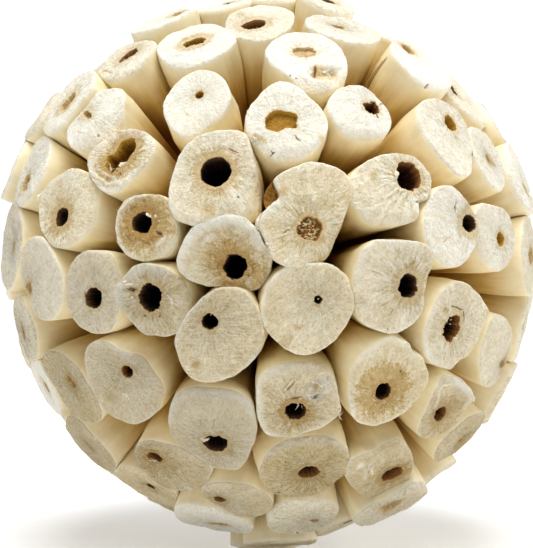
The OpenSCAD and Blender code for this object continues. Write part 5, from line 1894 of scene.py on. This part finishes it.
class PITHBALL_OT_splinters(bpy.types.Operator):
    """Scatter short fibres and crumbs on the sawn ends"""
    bl_idname = "pithball.splinters"
    bl_label = "Splinters"
    bl_options = {"REGISTER", "UNDO"}

    def execute(self, context):
        wood = context.scene.pithball_wood
        sawn = bmesh.new()
        edges = sawn.verts.layers.float_vector.new("edges")
        # The end that the ball rests on stays bare
        rested = "rest_stick_peeled"
        ends = [o.data for o in context.scene.objects if o.name.endswith("_peeled") and o.name != rested]
        for mesh in ends:
            zones = np.zeros(len(mesh.polygons), np.int32)
            mesh.polygons.foreach_get("material_index", zones)
            values = np.zeros(3 * len(mesh.vertices), np.float32)
            mesh.attributes["edges"].data.foreach_get("vector", values)
            values = values.reshape(-1, 3)
            made = {}
            for k in np.flatnonzero(zones == SAWN):
                corners = []
                for v in mesh.polygons[k].vertices:
                    if v not in made:
                        made[v] = sawn.verts.new(mesh.vertices[v].co)
                        made[v][edges] = Vector(values[v])
                    corners.append(made[v])
                sawn.faces.new(corners)
        mesh = bpy.data.meshes.new("sawn_ends")
        sawn.to_mesh(mesh)
        sawn.free()
        piece = grow("splinters", add_object("sawn_ends", mesh), splinter_tree(), {
            "Fibres": wood.fibres, "Crumbs": wood.crumbs, "Seed": 3, "Material": torn_material()})
        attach(piece, BODY)
        return {"FINISHED"}


LAMP_SIZE = 0.30
LAMP_DISTANCE = 0.45


def add_light(name, azimuth, elevation, power):
    """A soft square light that looks at the ball's middle; azimuth from the front to the right."""
    az, el = math.radians(azimuth), math.radians(elevation)
    away = Vector((math.cos(el) * math.sin(az), -math.cos(el) * math.cos(az), math.sin(el)))
    lamp = bpy.data.lights.new(name, "AREA")
    lamp.size = LAMP_SIZE
    lamp.energy = power
    light = add_object(name, lamp)
    light.location = away * LAMP_DISTANCE
    light.rotation_euler = (-away).to_track_quat("-Z", "Y").to_euler()


def floor_mesh():
    """A round floor that rises softly to a low wall."""
    steps, flat, wall = 96, 0.8, 0.5
    profile = [(r, 0.0) for r in (0.05, 0.2, 0.5, flat)]
    profile += [(flat + wall * math.sin(a), wall - wall * math.cos(a))
                for a in (math.radians(d) for d in range(10, 91, 10))]
    points = [(0, 0, FLOOR_Z)]
    for r, h in profile:
        points += [(r * math.cos(t), r * math.sin(t), FLOOR_Z + h)
                   for t in (TURN * k / steps for k in range(steps))]
    mesh = bpy.data.meshes.new("floor")
    mesh.from_pydata(points, [], round_faces(len(profile), steps, False))
    return smooth_shaded(mesh)


def paper_material(stage):
    """Pale paper that glows a little, and more so to the camera and away from the ball."""
    paper = bpy.data.materials.new("Floor paper")
    paper.use_nodes = True
    sh = Shading(paper.node_tree)
    position = sh.place_of_object()
    white = stage.floor_colour
    fibre = sh.mul(sh.noise(position, 900.0, 3.0, 0.6), 0.05)
    x, y, _ = sh.split(position)
    away = sh.remap(sh.vector("LENGTH", sh.bundle(x, y, 0.0)), 0.06, 0.35)
    seen = sh.node("ShaderNodeLightPath").outputs["Is Camera Ray"]
    given = sh.mix(away, (stage.glow,) * 3, (stage.glow * 0.3,) * 3)
    bright = sh.mix(away, (stage.glow + 0.25,) * 3, (1, 1, 1))
    sh.fill(paper.node_tree.nodes["Principled BSDF"], {
        "Base Color": sh.mix(fibre, white, [c * 0.94 for c in white]), "Roughness": 0.9,
        "Specular IOR Level": 0.1, "Emission Color": sh.mix(seen, given, bright), "Emission Strength": 1.0})
    return paper


def light_room(scene, stage):
    """An even glow from all round, white to the camera, and four soft lights."""
    world = bpy.data.worlds.new("Soft white room")
    scene.world = world
    world.use_nodes = True
    air = Shading(world.node_tree)
    seen = air.node("ShaderNodeLightPath").outputs["Is Camera Ray"]
    air.fill(world.node_tree.nodes["Background"], {"Color": air.mix(seen, (stage.sky,) * 3, (1, 1, 1))})
    add_light("top_light", 0, 80, stage.top_light)
    add_light("front_light", 0, 50, stage.front_light)
    add_light("right_light", 100, 12, stage.right_light)
    add_light("left_light", -100, 12, stage.left_light)


def place_camera(scene, stage):
    """A level camera in front of the ball; its shifts are in pixels of the picture."""
    sensor, shift_right, shift_up = 36, -0.5, -4
    lens = bpy.data.cameras.new("camera")
    lens.sensor_fit = "HORIZONTAL"
    lens.sensor_width = sensor
    lens.lens = sensor * stage.zoom
    lens.shift_x = shift_right / PICTURE_WIDTH
    lens.shift_y = shift_up / PICTURE_WIDTH
    lens.clip_start, lens.clip_end = 0.01, 20
    camera = add_object("camera", lens)
    camera.location = (0, -stage.distance, 0)
    camera.rotation_euler = (math.pi / 2, 0, 0)
    scene.camera = camera


class PITHBALL_OT_stage(bpy.types.Operator):
    """Set up the pale floor, the soft lights and the camera"""
    bl_idname = "pithball.stage"
    bl_label = "Stage"
    bl_options = {"REGISTER", "UNDO"}

    def execute(self, context):
        scene = context.scene
        stage = scene.pithball_stage
        floor = add_object("floor", floor_mesh())
        floor.data.materials.append(paper_material(stage))
        light_room(scene, stage)
        place_camera(scene, stage)
        scene.view_settings.view_transform = "Standard"
        return {"FINISHED"}


STEPS = (PITHBALL_OT_core, PITHBALL_OT_top, PITHBALL_OT_high, PITHBALL_OT_upper, PITHBALL_OT_middle,
         PITHBALL_OT_waist, PITHBALL_OT_lower, PITHBALL_OT_low, PITHBALL_OT_bottom, PITHBALL_OT_rear,
         PITHBALL_OT_torn_bits, PITHBALL_OT_splinters, PITHBALL_OT_stage)


class PITHBALL_PT_panel(bpy.types.Panel):
    """The ball's steps, sizes and colours"""
    bl_idname = "PITHBALL_PT_panel"
    bl_label = "Pith Wood Ball"
    bl_space_type = "VIEW_3D"
    bl_region_type = "UI"
    bl_category = "Pith Wood Ball"

    def draw(self, context):
        column = self.layout.column(align=True)
        for step in STEPS:
            column.operator(step.bl_idname)
        for group in (context.scene.pithball_wood, context.scene.pithball_stage):
            box = self.layout.box()
            for key in group.__annotations__:
                box.prop(group, key)


CLASSES = (PithWood, PithStage) + STEPS + (PITHBALL_PT_panel,)


def register():
    for cls in CLASSES:
        bpy.utils.register_class(cls)
    bpy.types.Scene.pithball_wood = PointerProperty(type=PithWood)
    bpy.types.Scene.pithball_stage = PointerProperty(type=PithStage)


def unregister():
    del bpy.types.Scene.pithball_wood
    del bpy.types.Scene.pithball_stage
    for cls in reversed(CLASSES):
        bpy.utils.unregister_class(cls)


def main():
    """Build the whole scene."""
    register()
    for step in STEPS:
        area, name = step.bl_idname.split(".")
        getattr(getattr(bpy.ops, area), name)()


if __name__ == "__main__":
    main()
